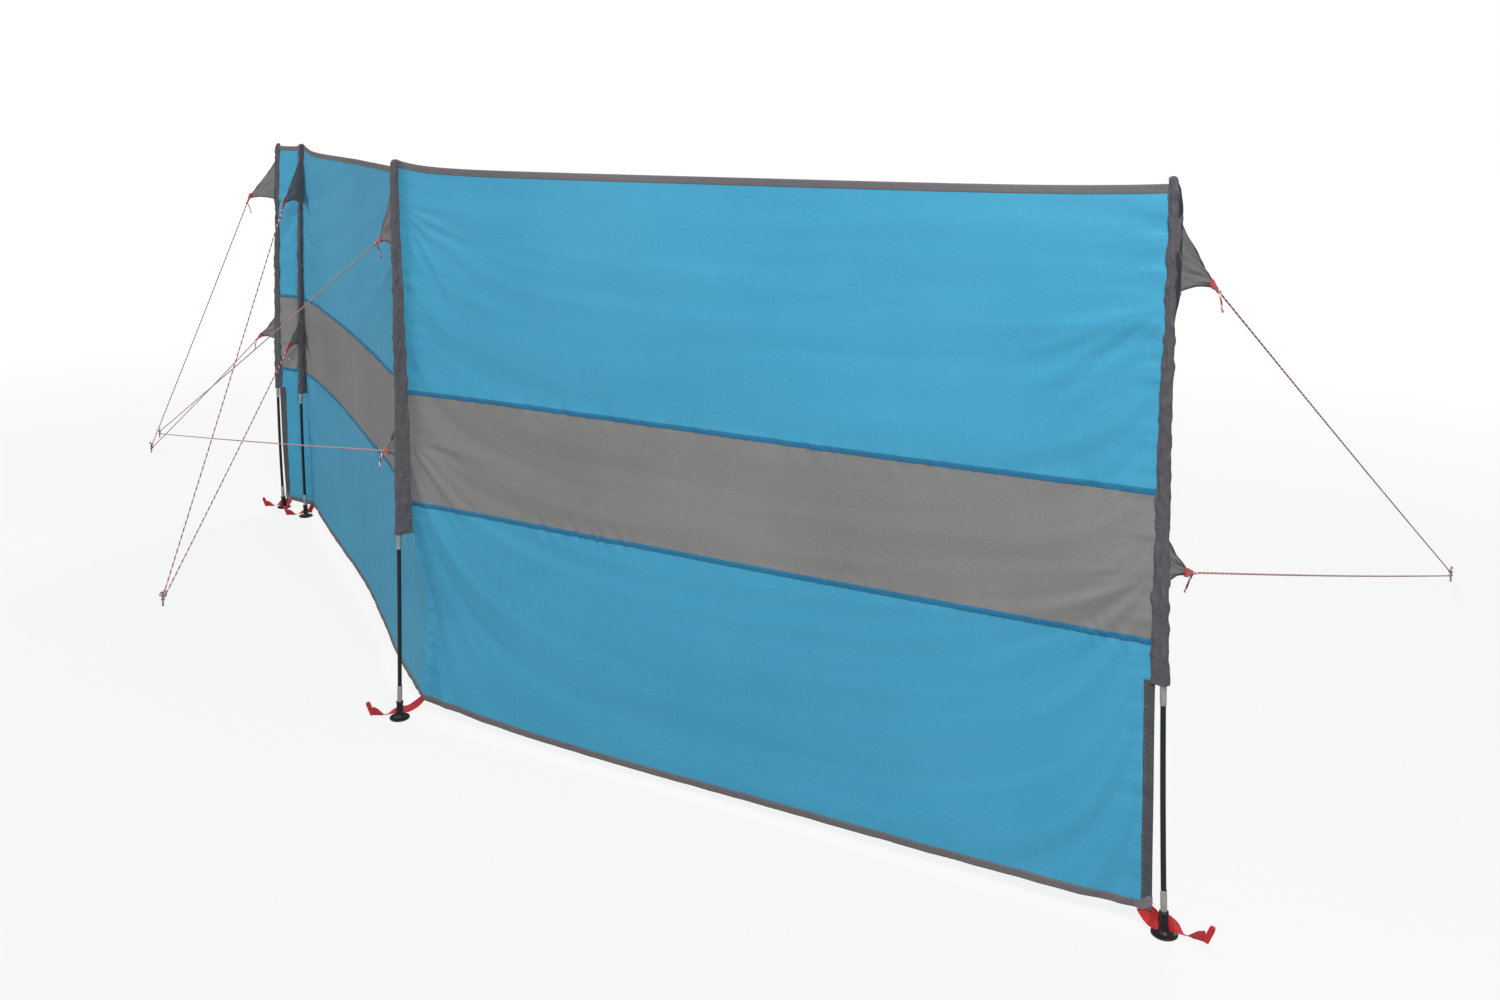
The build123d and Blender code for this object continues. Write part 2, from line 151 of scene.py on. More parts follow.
def softbox(name, place, aim, size, power):
    """A round soft lamp, its size in metres and its power in watts."""
    lamp = bpy.data.lights.new(name, "AREA")
    lamp.shape = "DISK"
    lamp.size = size
    lamp.energy = power
    light = put_in_scene(name, lamp)
    light.location = place
    light.rotation_euler = (Vector(aim) - Vector(place)).to_track_quat("-Z", "Y").to_euler()


softbox("key_lamp", (3.2, -2.6, 4.6), (1.3, 0.1, 0.8), 1.5, 236)
softbox("side_lamp", (-4.5, -2.5, 3.2), (-0.4, 0.4, 0.8), 1.8, 128)
softbox("rear_lamp", (-1.0, 6.0, 5.0), (0.0, 0.6, 0.7), 2.6, 190)

camera_data = bpy.data.cameras.new("camera")
camera_data.lens = LENS_MM
camera_data.sensor_width = SENSOR_MM
camera_data.shift_y = -SHIFT_DOWN
camera = put_in_scene("camera", camera_data)
camera.location = EYE
camera.rotation_euler = (math.pi / 2 - LOOK_DOWN, 0.0, LOOK_HEADING - math.pi / 2)
bpy.context.scene.camera = camera
bpy.context.scene.view_settings.view_transform = "Standard"


# The cloth: light polyester, plain-woven and dyed in two colours, with a grey band sewn in
# between two blue panels on each bay. It hangs between the poles and its hems dip a little.
# Guy ropes and the sleeves' gathers pull soft folds into it, which die out inside the bay.
CLOTH_THICK = 0.0006
CLOTH_HALF = CLOTH_THICK / 2
HEM_ABOVE = 0.01
CELL = 0.0072
UP = np.array([0.0, 0.0, 1.0])


def flat_place(node):
    low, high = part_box(node)
    return np.array([(low.x + high.x) / 2, (low.y + high.y) / 2, 0.0])


poles = {number: flat_place(f"pole_{number}_rods") for number in (1, 2, 3, 4)}
sleeve_foot, pole_top = (corner.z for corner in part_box("pole_1_sleeve"))
band_top, cloth_top = (corner.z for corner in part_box("bay_1_upper"))
node_foot, band_foot = (corner.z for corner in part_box("bay_1_lower"))
cloth_foot = node_foot + HEM_ABOVE

# Each bay's cloth runs from corner to corner of its box. Two bays share the fold between them.
bay_boxes = {number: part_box(f"bay_{number}_band") for number in (1, 2, 3)}
left_ends = {n: np.array([low.x, high.y, 0.0]) for n, (low, high) in bay_boxes.items()}
right_ends = {n: np.array([high.x, low.y, 0.0]) for n, (low, high) in bay_boxes.items()}
seam_points = {
    1: right_ends[1],
    2: (left_ends[1] + right_ends[2]) / 2,
    3: (left_ends[2] + right_ends[3]) / 2,
    4: left_ends[3],
}
# The ropes bow each pole a little, most just below its middle: the heading it bows to, in
# degrees, and how far.
BOWS = {1: (181, 0.0095), 2: (52, 0.0037), 3: (228, 0.013), 4: (228, 0.018)}
BOW_POWER = 0.85
# The ropes also draw the cloth's edge towards the poles near the top, and below the sleeves it
# hangs further away: heights, then its distance at an end pole and at the two folds.
SEAM_HEIGHTS = [0.04, 0.28, 0.50, 0.90, 1.20, 1.484]
END_DISTANCES = [0.024, 0.019, 0.017, 0.0115, 0.007, 0.007]
CORNER_DISTANCES = [0.060, 0.077, 0.034, 0.027, 0.0165, 0.0125]
INNER_DISTANCES = [0.032, 0.032, 0.024, 0.017, 0.011, 0.014]
seam_distances = {1: END_DISTANCES, 2: CORNER_DISTANCES, 3: INNER_DISTANCES, 4: END_DISTANCES}
SOFTEN = np.linspace(-0.04, 0.04, 5)


def unit(vectors):
    """Vectors brought to a length of 1."""
    return vectors / np.linalg.norm(vectors, axis=-1, keepdims=True)


def level_way(heading):
    """The level direction at a heading, in degrees from +X."""
    turn = math.radians(heading)
    return np.array([math.cos(turn), math.sin(turn), 0.0])


def pole_at(number, height):
    """The middle of a bowed pole at some heights."""
    heading, most = BOWS[number]
    share = np.clip(np.asarray(height, float) / pole_top, 0, 1)
    bend = most * np.sin(math.pi * share**BOW_POWER)
    return poles[number] + level_way(heading) * bend[..., None]


def seam_point(number, height):
    """Where the cloth meets or passes a pole at some heights."""
    height = np.asarray(height, float)
    distances = [np.interp(height + shift, SEAM_HEIGHTS, seam_distances[number]) for shift in SOFTEN]
    away = unit(seam_points[number] - poles[number])
    return pole_at(number, height) + away * (sum(distances) / len(SOFTEN))[..., None]


# Brings the heights of rough() up to about 1.
TO_FULL_HEIGHT = 1.6


def eased(distance):
    """1 at no distance, and smoothly down to 0 at a distance of 1."""
    near = 1 - np.abs(distance)
    return near**3 * (near * (6 * near - 15) + 10)


def rough(x, y, seed):
    """Smooth random heights from about -1 to 1, with a hump or a dip in each unit square."""
    turns = np.random.default_rng(seed).uniform(0, 2 * math.pi, (61, 67))
    x, y = np.broadcast_arrays(x, y)
    left, low = np.floor(x).astype(int), np.floor(y).astype(int)
    total = np.zeros(x.shape)
    for i in (0, 1):
        for j in (0, 1):
            turn = turns[(left + i) % len(turns), (low + j) % len(turns[0])]
            dx, dy = x - left - i, y - low - j
            total += (np.cos(turn) * dx + np.sin(turn) * dy) * (eased(dx) * eased(dy))
    return total * TO_FULL_HEIGHT


# At its ends a top hem rises to the poles' caps, and between them it hangs a little lower.
HEM_RISES = {1: 0.0, 2: 0.013, 3: 0.013, 4: 0.004}
TOP_DIPS = {1: 0.011, 2: 0.016, 3: 0.001}
FOOT_SAGS = {1: 0.016, 2: -0.008, 3: 0.0}
BELLIES = {1: 0.006, 2: -0.020, 3: 0.0}
# Folds fall away from the poles, at this slope for this far: left end, then right end.
FALLS = {1: ((0.34, 0.30), (0.14, 0.60)), 2: ((0.0, 1.0), (0.42, 2.6)), 3: ((0.0, 1.0), (0.2, 0.3))}
# The heights at which the ropes pull on each pole, and the fans of folds that gather there.
PULLS = {1: (1.25, 0.72), 2: (1.37, 0.75), 3: (1.30, 0.74), 4: (1.30, 0.74)}
FAN_GATHER = 0.020
FAN_HEIGHT = 0.12
FAN_CREASE = 0.11
FAN_REACH = 0.10
FAN_CREASES = 5.5
# The kinds of fold in the cloth: how deep, and how far apart along and up it.
BROAD = (0.013, 0.83, 0.62)
LONG = (0.0032, 1.10, 0.095)
MEDIUM = (0.0011, 0.60, 0.043)
FINE = (0.0010, 0.20, 0.019)
PACKED = (0.0011, 0.12, 0.30)
PUCKER = (0.0085, 0.030, 0.25)
WIDE_TUCK = (0.0042, 0.3, 0.040)
SMALL_TUCK = (0.0030, 0.2, 0.013)
HEM_RIPPLE = (0.0012, 0.05, 0.3)
# How far out from the poles, the band's seams or the hems each of them reaches.
BROAD_START = 0.35
LONG_REACH = 0.40
FINE_REACH = 0.11
PUCKER_REACH = 0.026
TUCK_REACH = 0.030
RIPPLE_REACH = 0.05
# A seam holds the cloth beside it flat for this far.
HELD_FLAT = 0.05


def folds(kind, s, z, seed, shift=0.0, lift=0.0):
    """One kind of fold over some places, moved by a share of its spacing."""
    deep, along, up = kind
    return deep * rough(s / along + shift, z / up + lift, seed)


class Bay:
    """One bay of cloth. A place on it is s, metres from its left end, and z, its height before it sags."""

    def __init__(self, number):
        self.number = number
        self.start, self.stop = seam_points[number + 1], seam_points[number]
        self.length = float(np.linalg.norm(self.stop - self.start))
        self.front = np.cross((self.stop - self.start) / self.length, UP)

    def ends(self, s):
        """Each end's pole, how far away it is, and how the folds fall from it."""
        away = (np.clip(s, 0, None), np.clip(self.length - s, 0, None))
        return list(zip((self.number + 1, self.number), away, FALLS[self.number]))

    def drop(self, s, z):
        """How far the top hem's dip and the bottom hem's sag lower a place."""
        near = np.minimum(*(away for _, away, _ in self.ends(s)))
        top = TOP_DIPS[self.number] * (1 - np.exp(-near / min(0.17, self.length / 3)))
        for number, away, _ in self.ends(s):
            top = top - HEM_RISES[number] * np.exp(-away / 0.06)
        share = np.clip(s / self.length, 0, 1)
        foot = 4 * FOOT_SAGS[self.number] * share * (1 - share)
        upper = np.clip((z - band_top) / (cloth_top - band_top), 0, 1.2)
        return top * upper + foot * np.clip((band_foot - z) / (band_foot - cloth_foot), 0, 1.2)

    def fold_height(self, s, z):
        """The height at which the fold through a place would run level. Folds gather where a rope pulls."""
        height = z + 0 * s
        for number, away, (fall, reach) in self.ends(s):
            fallen = fall * reach * (1 - np.exp(-away / reach))
            height = height + fallen
            for pull in PULLS[number]:
                fan = np.tanh((z + fallen - pull) / FAN_HEIGHT)
                height = height + FAN_GATHER / (away + 0.06) * np.where(fan > 0, 0.2 * fan, fan)
        return height

    def depth(self, s, z):
        """How far the cloth's folds stand out of its plane."""
        seed = self.number * 100
        (_, left, _), (_, right, _) = self.ends(s)
        near = np.minimum(left, right)
        held = 1 - np.exp(-near / HELD_FLAT)
        total = BELLIES[self.number] * np.sin(math.pi * np.clip(s / self.length, 0, 1))
        total = total + folds(BROAD, s, z, seed, 0.2) * np.clip(near / BROAD_START, 0, 1)
        # Long folds run out from the poles. They are deepest near them and never quite die out.
        height = self.fold_height(s, z)
        warp = 0.3 * rough(s / 0.7, height / 0.4, seed + 1)
        deep = (0.45 + 0.75 * np.exp(-near / LONG_REACH)) * held
        total += folds(LONG, s, height, seed + 2, warp, 0.5 * warp) * deep
        total += folds(MEDIUM, s, height, seed + 3, -warp, warp) * deep
        total += folds(FINE, s, height, seed + 4) * np.exp(-near / FINE_REACH) * held
        # Cross folds from the way the cloth was packed.
        total += folds(PACKED, s + 0.25 * z, z - 0.2 * s, seed + 5) * held
        # The band's seams draw the cloth up into small puckers, here more and there less.
        for k, seam in enumerate((band_foot, band_top)):
            patchy = 0.35 + np.clip(rough(s / 0.16, seam + 0 * z, seed + 24 + k), 0, 1)
            crease = PUCKER[0] / 2 - np.abs(folds(PUCKER, s + 0.6 * (z - seam), z, seed + 20 + k))
            total += crease * np.exp(-np.abs(z - seam) / PUCKER_REACH) * patchy * held
        # Thin creases fan down and out from where each rope pulls on its pole.
        for number, away, _ in self.ends(s):
            for k, pull in enumerate(PULLS[number]):
                below = pull - z
                reach = np.hypot(away, below)
                turned_down = np.arctan2(below, away + 0.004)
                strength = reach * np.exp(-reach / FAN_REACH) * np.clip(0.4 + below / 0.03, 0, 1)
                crease = rough(turned_down * FAN_CREASES, reach / 0.3, seed + 50 + k + 2 * number)
                total += FAN_CREASE * strength * crease
        # The sleeve's seam gathers it into short level tucks.
        for k, away in enumerate((left, right)):
            beside = np.exp(-away / TUCK_REACH) * (1 - np.exp(-away / 0.008))
            total += folds(WIDE_TUCK, s, z, seed + 30 + k) * beside
            total += folds(SMALL_TUCK, s, z, seed + 32 + k) * beside
        # Hems ripple where their binding is tighter than the cloth.
        for k, hem in enumerate((cloth_top, cloth_foot)):
            total += folds(HEM_RIPPLE, s, z, seed + 40 + k) * np.exp(-np.abs(z - hem) / RIPPLE_REACH) * held
        return total

    def points(self, s, z, *outs):
        """Places on the hung and folded cloth, or one set of places for each distance out in front."""
        s, z = np.broadcast_arrays(s, z)
        share = (s / self.length)[..., None]
        place = self.start * (1 - share) + self.stop * share
        for number, away, _ in self.ends(s):
            drawn = np.exp(-away / min(0.25, self.length / 5))[..., None]
            place = place + (seam_point(number, z) - seam_points[number]) * drawn
        place = place + self.front * self.depth(s, z)[..., None] + UP * (z - self.drop(s, z))[..., None]
        sets = [place + self.front * np.broadcast_to(out, s.shape)[..., None] for out in outs or (0.0,)]
        return sets if len(outs) > 1 else sets[0]


bays = {number: Bay(number) for number in (1, 2, 3)}


def mark_cut(mesh, flat):
    """Stores each point's place on the flat cut as a UV map, in metres."""
    corners = np.zeros(len(mesh.loops), int)
    mesh.loops.foreach_get("vertex_index", corners)
    flat = np.asarray(flat).reshape(-1, 2)
    mesh.uv_layers.new(name="cut").data.foreach_set("uv", flat[corners].astype(np.float32).ravel())


def shell(name, front, back, flat, material):
    """A thin closed piece between two grids of points. flat holds each point's place on the cut cloth."""
    rows, columns = front.shape[:2]
    index = np.arange(rows * columns).reshape(rows, columns)
    quads = np.stack([index[:-1, :-1], index[:-1, 1:], index[1:, 1:], index[1:, :-1]], -1).reshape(-1, 4)
    ring = np.concatenate([index[0, :-1], index[:-1, -1], index[-1, :0:-1], index[:0:-1, 0]])
    after = np.roll(ring, -1)
    count = rows * columns
    rim = np.stack([after, ring, ring + count, after + count], -1)
    points = np.concatenate([front.reshape(-1, 3), back.reshape(-1, 3)])
    piece = add_piece(name, points, np.concatenate([quads, quads[:, ::-1] + count, rim]), material)
    mark_cut(piece.data, np.concatenate([flat, flat]))
    return piece


def spaced(start, stop, cell):
    return np.linspace(start, stop, max(2, round(abs(stop - start) / cell) + 1))


SLUBS_PER_METRE = 160.0
CLOUDS_PER_METRE = 2.2


def woven(name, pale, dark, thread, roughness=0.7):
    """Plain-woven dyed cloth, matt with a faint sheen. Its threads are drawn coarser than real, to show."""
    material, tree, shader = new_finish(
        name, Roughness=roughness, Sheen_Weight=0.04, Sheen_Roughness=0.4, Specular_IOR_Level=0.3
    )
    cut = add_node(tree, "ShaderNodeUVMap", uv_map="cut").outputs["UV"]
    across, along = [
        add_node(
            tree, "ShaderNodeTexWave", {"Vector": cut, "Scale": math.pi / 10 / thread, "Distortion": 0.4},
            bands_direction=way,
        ).outputs["Fac"]
        for way in ("X", "Y")
    ]
    weave = add_node(tree, "ShaderNodeMath", {0: across, 1: along}, operation="MULTIPLY").outputs[0]
    # Slubs are thick places in single threads, and clouds are where the dye took unevenly.
    slubs, clouds = [
        add_node(tree, "ShaderNodeTexNoise", {"Vector": cut, "Scale": size, "Detail": fine}).outputs["Fac"]
        for size, fine in ((SLUBS_PER_METRE, 3.0), (CLOUDS_PER_METRE, 4.0))
    ]
    tone = add_node(tree, "ShaderNodeMath", {0: slubs, 1: clouds}, operation="ADD").outputs[0]
    spread = add_node(tree, "ShaderNodeMapRange", {"Value": tone, "From Min": 0.7, "From Max": 1.3})
    relief = add_node(tree, "ShaderNodeMath", {0: weave, 1: slubs}, operation="ADD").outputs[0]
    patterned(tree, shader, spread.outputs["Result"], dark, pale, relief, 0.25, thread / 4)
    return material


def stand_in(piece, node):
    """Fixes a piece to the object's one body, and hides the node that it stands in for."""
    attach(piece, "root")
    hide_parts(node)


# Taffeta: a close, light weave that spreads the light softly, so that its folds show as tones.
blue_cloth = woven("blue_polyester_taffeta", "47A1C5", "3D98BD", 0.0016, 0.66)
grey_cloth = woven("grey_polyester_taffeta", "868685", "7B7B7A", 0.0016, 0.66)

panels = {}
for number, bay in bays.items():
    across = spaced(0, bay.length, CELL)
    for part, low, high, material, slot in (
        ("upper", band_top, cloth_top, blue_cloth, "blue_cloth"),
        ("band", band_foot, band_top, grey_cloth, "grey_cloth"),
        ("lower", cloth_foot, band_foot, blue_cloth, "blue_cloth"),
    ):
        s, z = np.meshgrid(across, spaced(low, high, CELL))
        node = f"bay_{number}_{part}"
        front, back = bay.points(s, z, CLOTH_HALF, -CLOTH_HALF)
        panel = shell(f"{node}_cloth", front, back, np.stack([s, z], -1), material)
        panels[node] = (panel, (bay.length, high - low))
        stand_in(panel, node)


# Seam tapes: a narrow band of the same cloth, dyed darker, folded flat over each seam of the grey
# band and sewn down with two rows of stitches. The thread is drawn thicker than real.
TAPE_HALF = 0.0065
TAPE_THICK = 0.0011
TAPE_ROWS = 7
STITCH_INSET = 0.7
THREAD = 0.0009
STITCH_PITCH = 0.011
STITCH_SHARE = 0.72
# These poles carry a free end of the cloth, and the other two a fold between two bays.
END_POLES = (1, 4)

# The same taffeta dyed darker, two narrow dark lines that frame the band.
tape_cloth = woven("dark_blue_seam_tape", "27769C", "20678B", 0.0016, 0.66)
# Spun thread: soft and unshiny, a little paler than the tape it holds.
grey_thread, _, _ = new_finish("grey_sewing_thread", Roughness=0.55, Base_Color=linear("8C8B8D"))
blue_thread, _, _ = new_finish("blue_sewing_thread", Roughness=0.55, Base_Color=linear("2F86B4"))


def stitch_tree():
    """Lays one rounded stitch after another along every line of a mesh."""
    tree = bpy.data.node_groups.new("stitching", "GeometryNodeTree")
    sockets = {}
    for name in ("Geometry", "Pitch", "Thread", "Material"):
        kind = "NodeSocketFloat" if name in ("Pitch", "Thread") else f"NodeSocket{name}"
        made = tree.interface.new_socket(name, in_out="INPUT", socket_type=kind)
        sockets[name] = made.identifier
    tree.interface.new_socket("Geometry", in_out="OUTPUT", socket_type="NodeSocketGeometry")
    given = add_node(tree, "NodeGroupInput").outputs
    line = add_node(tree, "GeometryNodeMeshToCurve", {"Mesh": given["Geometry"]}).outputs["Curve"]
    places = add_node(
        tree, "GeometryNodeCurveToPoints", {"Curve": line, "Length": given["Pitch"]}, mode="LENGTH"
    ).outputs
    bead = add_node(tree, "GeometryNodeMeshIcoSphere", {"Radius": 0.5, "Subdivisions": 1}).outputs["Mesh"]
    length = add_node(tree, "ShaderNodeMath", {0: given["Pitch"], 1: STITCH_SHARE}, operation="MULTIPLY")
    size = add_node(
        tree, "ShaderNodeCombineXYZ", {"X": given["Thread"], "Y": given["Thread"], "Z": length.outputs[0]}
    ).outputs["Vector"]
    sewn = add_node(
        tree, "GeometryNodeInstanceOnPoints",
        {"Points": places["Points"], "Instance": bead, "Rotation": places["Rotation"], "Scale": size},
    ).outputs["Instances"]
    real = add_node(tree, "GeometryNodeRealizeInstances", {"Geometry": sewn}).outputs["Geometry"]
    dyed = add_node(tree, "GeometryNodeSetMaterial", {"Geometry": real, "Material": given["Material"]})
    add_node(tree, "NodeGroupOutput", {"Geometry": dyed.outputs["Geometry"]})
    return tree, sockets


stitching, stitch_sockets = stitch_tree()


def sew(name, lines, thread_material):
    """Rows of stitches along some lines of points, as a plain mesh."""
    edges, first = [], 0
    for line in lines:
        edges += [(first + k, first + k + 1) for k in range(len(line) - 1)]
        first += len(line)
    mesh = bpy.data.meshes.new(name)
    mesh.from_pydata([tuple(p) for p in np.concatenate(lines)], edges, [])
    holder = put_in_scene(name + "_lines", mesh)
    modifier = holder.modifiers.new("stitching", "NODES")
    modifier.node_group = stitching
    for socket, value in (("Pitch", STITCH_PITCH), ("Thread", THREAD), ("Material", thread_material)):
        modifier[stitch_sockets[socket]] = value
    bpy.context.view_layer.update()
    sewn = bpy.data.meshes.new_from_object(holder.evaluated_get(bpy.context.evaluated_depsgraph_get()))
    bpy.data.objects.remove(holder)
    sewn.shade_smooth()
    piece = put_in_scene(name, sewn)
    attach(piece, "root")
    return piece


def band_on_cloth(name, bay, s, z, front_out, back_out, material):
    """A thin band that follows the cloth, from its grid of places and how far its faces stand out."""
    front, back = bay.points(s, z, front_out, back_out)
    return shell(name, front, back, np.stack([s, z], -1), material)


def stop_in(number):
    """How far before a pole's seam the trims above the sleeve's foot stop."""
    return 0.007 if number in END_POLES else 0.002


trims = {number: [] for number in bays}
for number, bay in bays.items():
    along = spaced(stop_in(number + 1), bay.length - stop_in(number), CELL)
    width = np.linspace(-1, 1, TAPE_ROWS)
    bulge = (CLOTH_HALF + TAPE_THICK * (1 - width**6))[:, None]
    rows = []
    for seam in (band_foot, band_top):
        s, z = np.meshgrid(along, seam + width * TAPE_HALF)
        name = f"bay_{number}_tape_at_{seam * 1000:.0f}"
        tape = band_on_cloth(name, bay, s, z, bulge, -CLOTH_HALF / 2, tape_cloth)
        trims[number].append(tape)
        for inset in (-STITCH_INSET, STITCH_INSET):
            for out in (CLOTH_HALF + TAPE_THICK, -CLOTH_HALF):
                rows.append(bay.points(along, seam + inset * TAPE_HALF, out))
        stand_in(tape, f"bay_{number}_seam_tapes")
    trims[number].append(sew(f"bay_{number}_seam_stitches", rows, blue_thread))


# Bindings: grey woven tape folded over the cloth's top and bottom hems and its free ends, and
# sewn through. At each free end a short length of it is laid slantwise over both hems.
BINDING_HALF = 0.0016
TOP_BINDING = 0.018
FOOT_BINDING = 0.017
END_BINDING = 0.021
PAST_EDGE = 0.001
# How far the rows of stitches run from the cloth's edges.
TOP_SEWN, FOOT_SEWN, END_SEWN = 0.0145, 0.0135, 0.0165
CORNER_LONG, CORNER_WIDE = 0.040, 0.019
CORNER_IN, CORNER_UP = 0.013, 0.0105
CORNER_SLANT = math.radians(38)
CORNER_PAST = 0.0015
# The tape's section: places across it, from its sewn edge to its fold, and its half thickness.
ACROSS = np.array([0.0, 0.06, 0.3, 0.6, 0.85, 0.95, 1.0])
HALF_TAPE = BINDING_HALF * np.array([0.55, 0.9, 0.95, 1.0, 1.0, 0.75, 0.25])[:, None]

# Binding tape: a finer, closer weave than the cloth's, so it looks darker and smoother.
binding_cloth = woven("grey_binding_tape", "716D70", "645F63", 0.0012)
# Painted shade: the binding at the free ends is drawn darker than the rest, for the shade it stands in.
shaded_end_cloth = woven("shaded_end_binding_tape", "515358", "45474B", 0.0012)
corner_cloth = woven("pale_grey_binding_tape", "7E7A7E", "716C71", 0.0012)


def sewn_through(bay, s, z):
    """The lines of a row of stitches that shows on both faces of a binding."""
    return [bay.points(s, z, side * BINDING_HALF) for side in (1, -1)]


for number, bay in bays.items():
    along = spaced(stop_in(number + 1) / 2, bay.length - stop_in(number) / 2, CELL)
    s, z = np.meshgrid(along, cloth_top + PAST_EDGE - TOP_BINDING * (1 - ACROSS))
    made = [band_on_cloth(f"bay_{number}_top_binding", bay, s, z, HALF_TAPE, -HALF_TAPE, binding_cloth)]
    rows = sewn_through(bay, along, cloth_top - TOP_SEWN)
    along = spaced(0.0, bay.length, CELL)
    s, z = np.meshgrid(along, cloth_foot - PAST_EDGE + FOOT_BINDING * (1 - ACROSS[::-1]))
    half = HALF_TAPE[::-1]
    made.append(band_on_cloth(f"bay_{number}_foot_binding", bay, s, z, half, -half, binding_cloth))
    rows += sewn_through(bay, along, cloth_foot + FOOT_SEWN)
    # Each free end, and whether its outer side lies up or down the bay.
    for end, outward in {1: [(bay.length, 1)], 3: [(0.0, -1)]}.get(number, []):
        rising = spaced(cloth_foot, sleeve_foot + 0.004, CELL)
        s, z = np.meshgrid(end + outward * (PAST_EDGE - END_BINDING * (1 - ACROSS)), rising)
        half = HALF_TAPE.T
        if outward < 0:
            s, half = s[:, ::-1], half[:, ::-1]
        made.append(band_on_cloth(f"bay_{number}_end_binding", bay, s, z, half, -half, shaded_end_cloth))
        rows += sewn_through(bay, np.full(rising.shape, end - outward * END_SEWN), rising)
        run, rise = np.meshgrid(np.linspace(-0.5, 0.5, 9), np.linspace(-0.5, 0.5, 6))
        run, rise = run * CORNER_LONG, rise * CORNER_WIDE
        cos, sin = math.cos(CORNER_SLANT * outward), math.sin(CORNER_SLANT * outward)
        s = end - outward * CORNER_IN + run * cos - rise * sin
        s = np.clip(s, -CORNER_PAST, bay.length + CORNER_PAST)
        z = np.clip(cloth_foot + CORNER_UP + run * sin + rise * cos, cloth_foot - CORNER_PAST, None)
        out = BINDING_HALF * 1.6
        made.append(band_on_cloth(f"bay_{number}_corner_fold", bay, s, z, out, -out, corner_cloth))
    for piece in made:
        stand_in(piece, f"bay_{number}_binding")
    trims[number] += made
    trims[number].append(sew(f"bay_{number}_hem_stitches", rows, grey_thread))

# The panels' bay numbers are read off their names here, and nothing more is done with them.
for node, (panel, size) in panels.items():
    number = int(node[4])


# Pole sleeves: heavier grey cloth sewn into a flat tube, closed by a rounded cap over the pole's
# tip and open above the joint. The cloth gathers into short cross folds along its seam.
SLEEVE_WALL = 0.0012
SEAM_EDGE = 0.0022
SLEEVE_CAP = 0.013
SLEEVE_CELL = 0.006
CAP_RINGS = 7
RING = 40
# The sleeve hangs loose round the rod at its foot and is drawn close above.
LOOSE_HEIGHTS = [0.50, 0.60, 0.90]
LOOSE_RADII = [0.0105, 0.0090, 0.0074]
# On an end pole it laps over the cloth, and its outer side rises to a wing where the upper gusset
# is sewn in: heights, then how far each reaches.
LAP_HEIGHTS = [0.50, 1.10, 1.20]
LAPS = [0.006, 0.006, 0.0025]
WING_HEIGHTS = [1.10, 1.20, 1.241, 1.27, 1.44, 1.48, 1.495]
WINGS = [0.0, 0.005, 0.010, 0.0155, 0.0155, 0.0085, 0.0]
WING_EDGE = 0.002
# The wing's dark strip of painted shade, for the shaded outer side of the sleeve: heights, its share of its
# full width, and its radius at its root and its edge.
SHADE_STRIP_HEIGHTS = [1.225, 1.25, 1.48, 1.492]
SHADE_STRIP_WIDTHS = [0.3, 1.0, 1.0, 0.3]
SHADE_STRIP_ROOT, SHADE_STRIP_EDGE = 0.0062, WING_EDGE + 0.0009
SHADE_STRIP_CELL = 0.008
# The sleeve's folds, as the cloth's: level ones, long ones and sharp ones.
LEVEL_FOLD = (0.0026, 1 / 5, 0.040)
TUBE_FOLD = (0.0018, 1 / 7, 0.12)
SHARP_FOLD = (0.0050, 1 / 6, 0.026)
DEEPEST_FOLD = -0.0011

# Oxford cloth: a heavier basket weave, rougher and darker than the bays' cloth.
sleeve_cloth = woven("dark_grey_oxford_cloth", "5F5D62", "4A484D", 0.0014)
# Painted shade: a near-black strip along the wing, put where its outer side lies in shade, so that the wing
# ends in a dark line.
wing_shade_cloth = woven("painted_wing_shade", "35373D", "2C2E33", 0.0012)


def guy_plane(number):
    """The direction from a pole out to its peg, and how far away the peg is."""
    low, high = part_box(f"pole_{number}_guy_ropes")
    ends = [np.array([x, y, 0.0]) for x in (low.x, high.x) for y in (low.y, high.y)]
    away = max((end - poles[number] for end in ends), key=np.linalg.norm)
    return unit(away), np.linalg.norm(away)


def wing_at(number, height):
    """How far an end sleeve's wing stands out from its pole's middle, and the level way it points."""
    way = guy_plane(number)[0][:2] - unit((seam_points[number] - poles[number])[:2])
    return np.interp(height, WING_HEIGHTS, WINGS) * unit(way)


def walked(path):
    """How far along a path each of its points lies."""
    return np.concatenate([[0], np.cumsum(np.linalg.norm(np.diff(path, axis=0), axis=1))])


def drawn_round(discs, start_way, height):
    """The outline of cloth drawn tight round some discs, each a centre and a radius, at one height."""
    turns = np.linspace(0, 2 * math.pi, 720, endpoint=False)
    ways = np.stack([np.cos(turns), np.sin(turns)], -1)
    reach = np.stack([ways @ centre + radius for centre, radius in discs])
    hull = np.array([discs[k][0] + way * discs[k][1] for k, way in zip(reach.argmax(0), ways)])
    closed = np.vstack([hull, hull[:1]])
    along = walked(closed)
    # The ring starts on one side, so that its points line up from one height to the next.
    start = along[int(np.argmax(ways @ start_way))]
    wanted = (start + np.linspace(0, along[-1], RING, endpoint=False)) % along[-1]
    x, y = (np.interp(wanted, along, closed[:, k]) for k in (0, 1))
    return np.column_stack([x, y, np.full(RING, height)])


def sleeve_ring(number, height, shrink):
    """A sleeve's outline at one height."""
    pole, seam = pole_at(number, height)[:2], seam_point(number, height)[:2]
    away = unit(seam - pole)
    discs = [(pole, np.interp(height, LOOSE_HEIGHTS, LOOSE_RADII)), (seam, SEAM_EDGE)]
    if number in END_POLES:
        discs[1] = (seam + away * np.interp(height, LAP_HEIGHTS, LAPS), SEAM_EDGE)
        discs.append((pole + wing_at(number, height), WING_EDGE))
    middle = np.append((pole + seam) / 2, height)
    return middle + (drawn_round(discs, away, height) - middle) * shrink


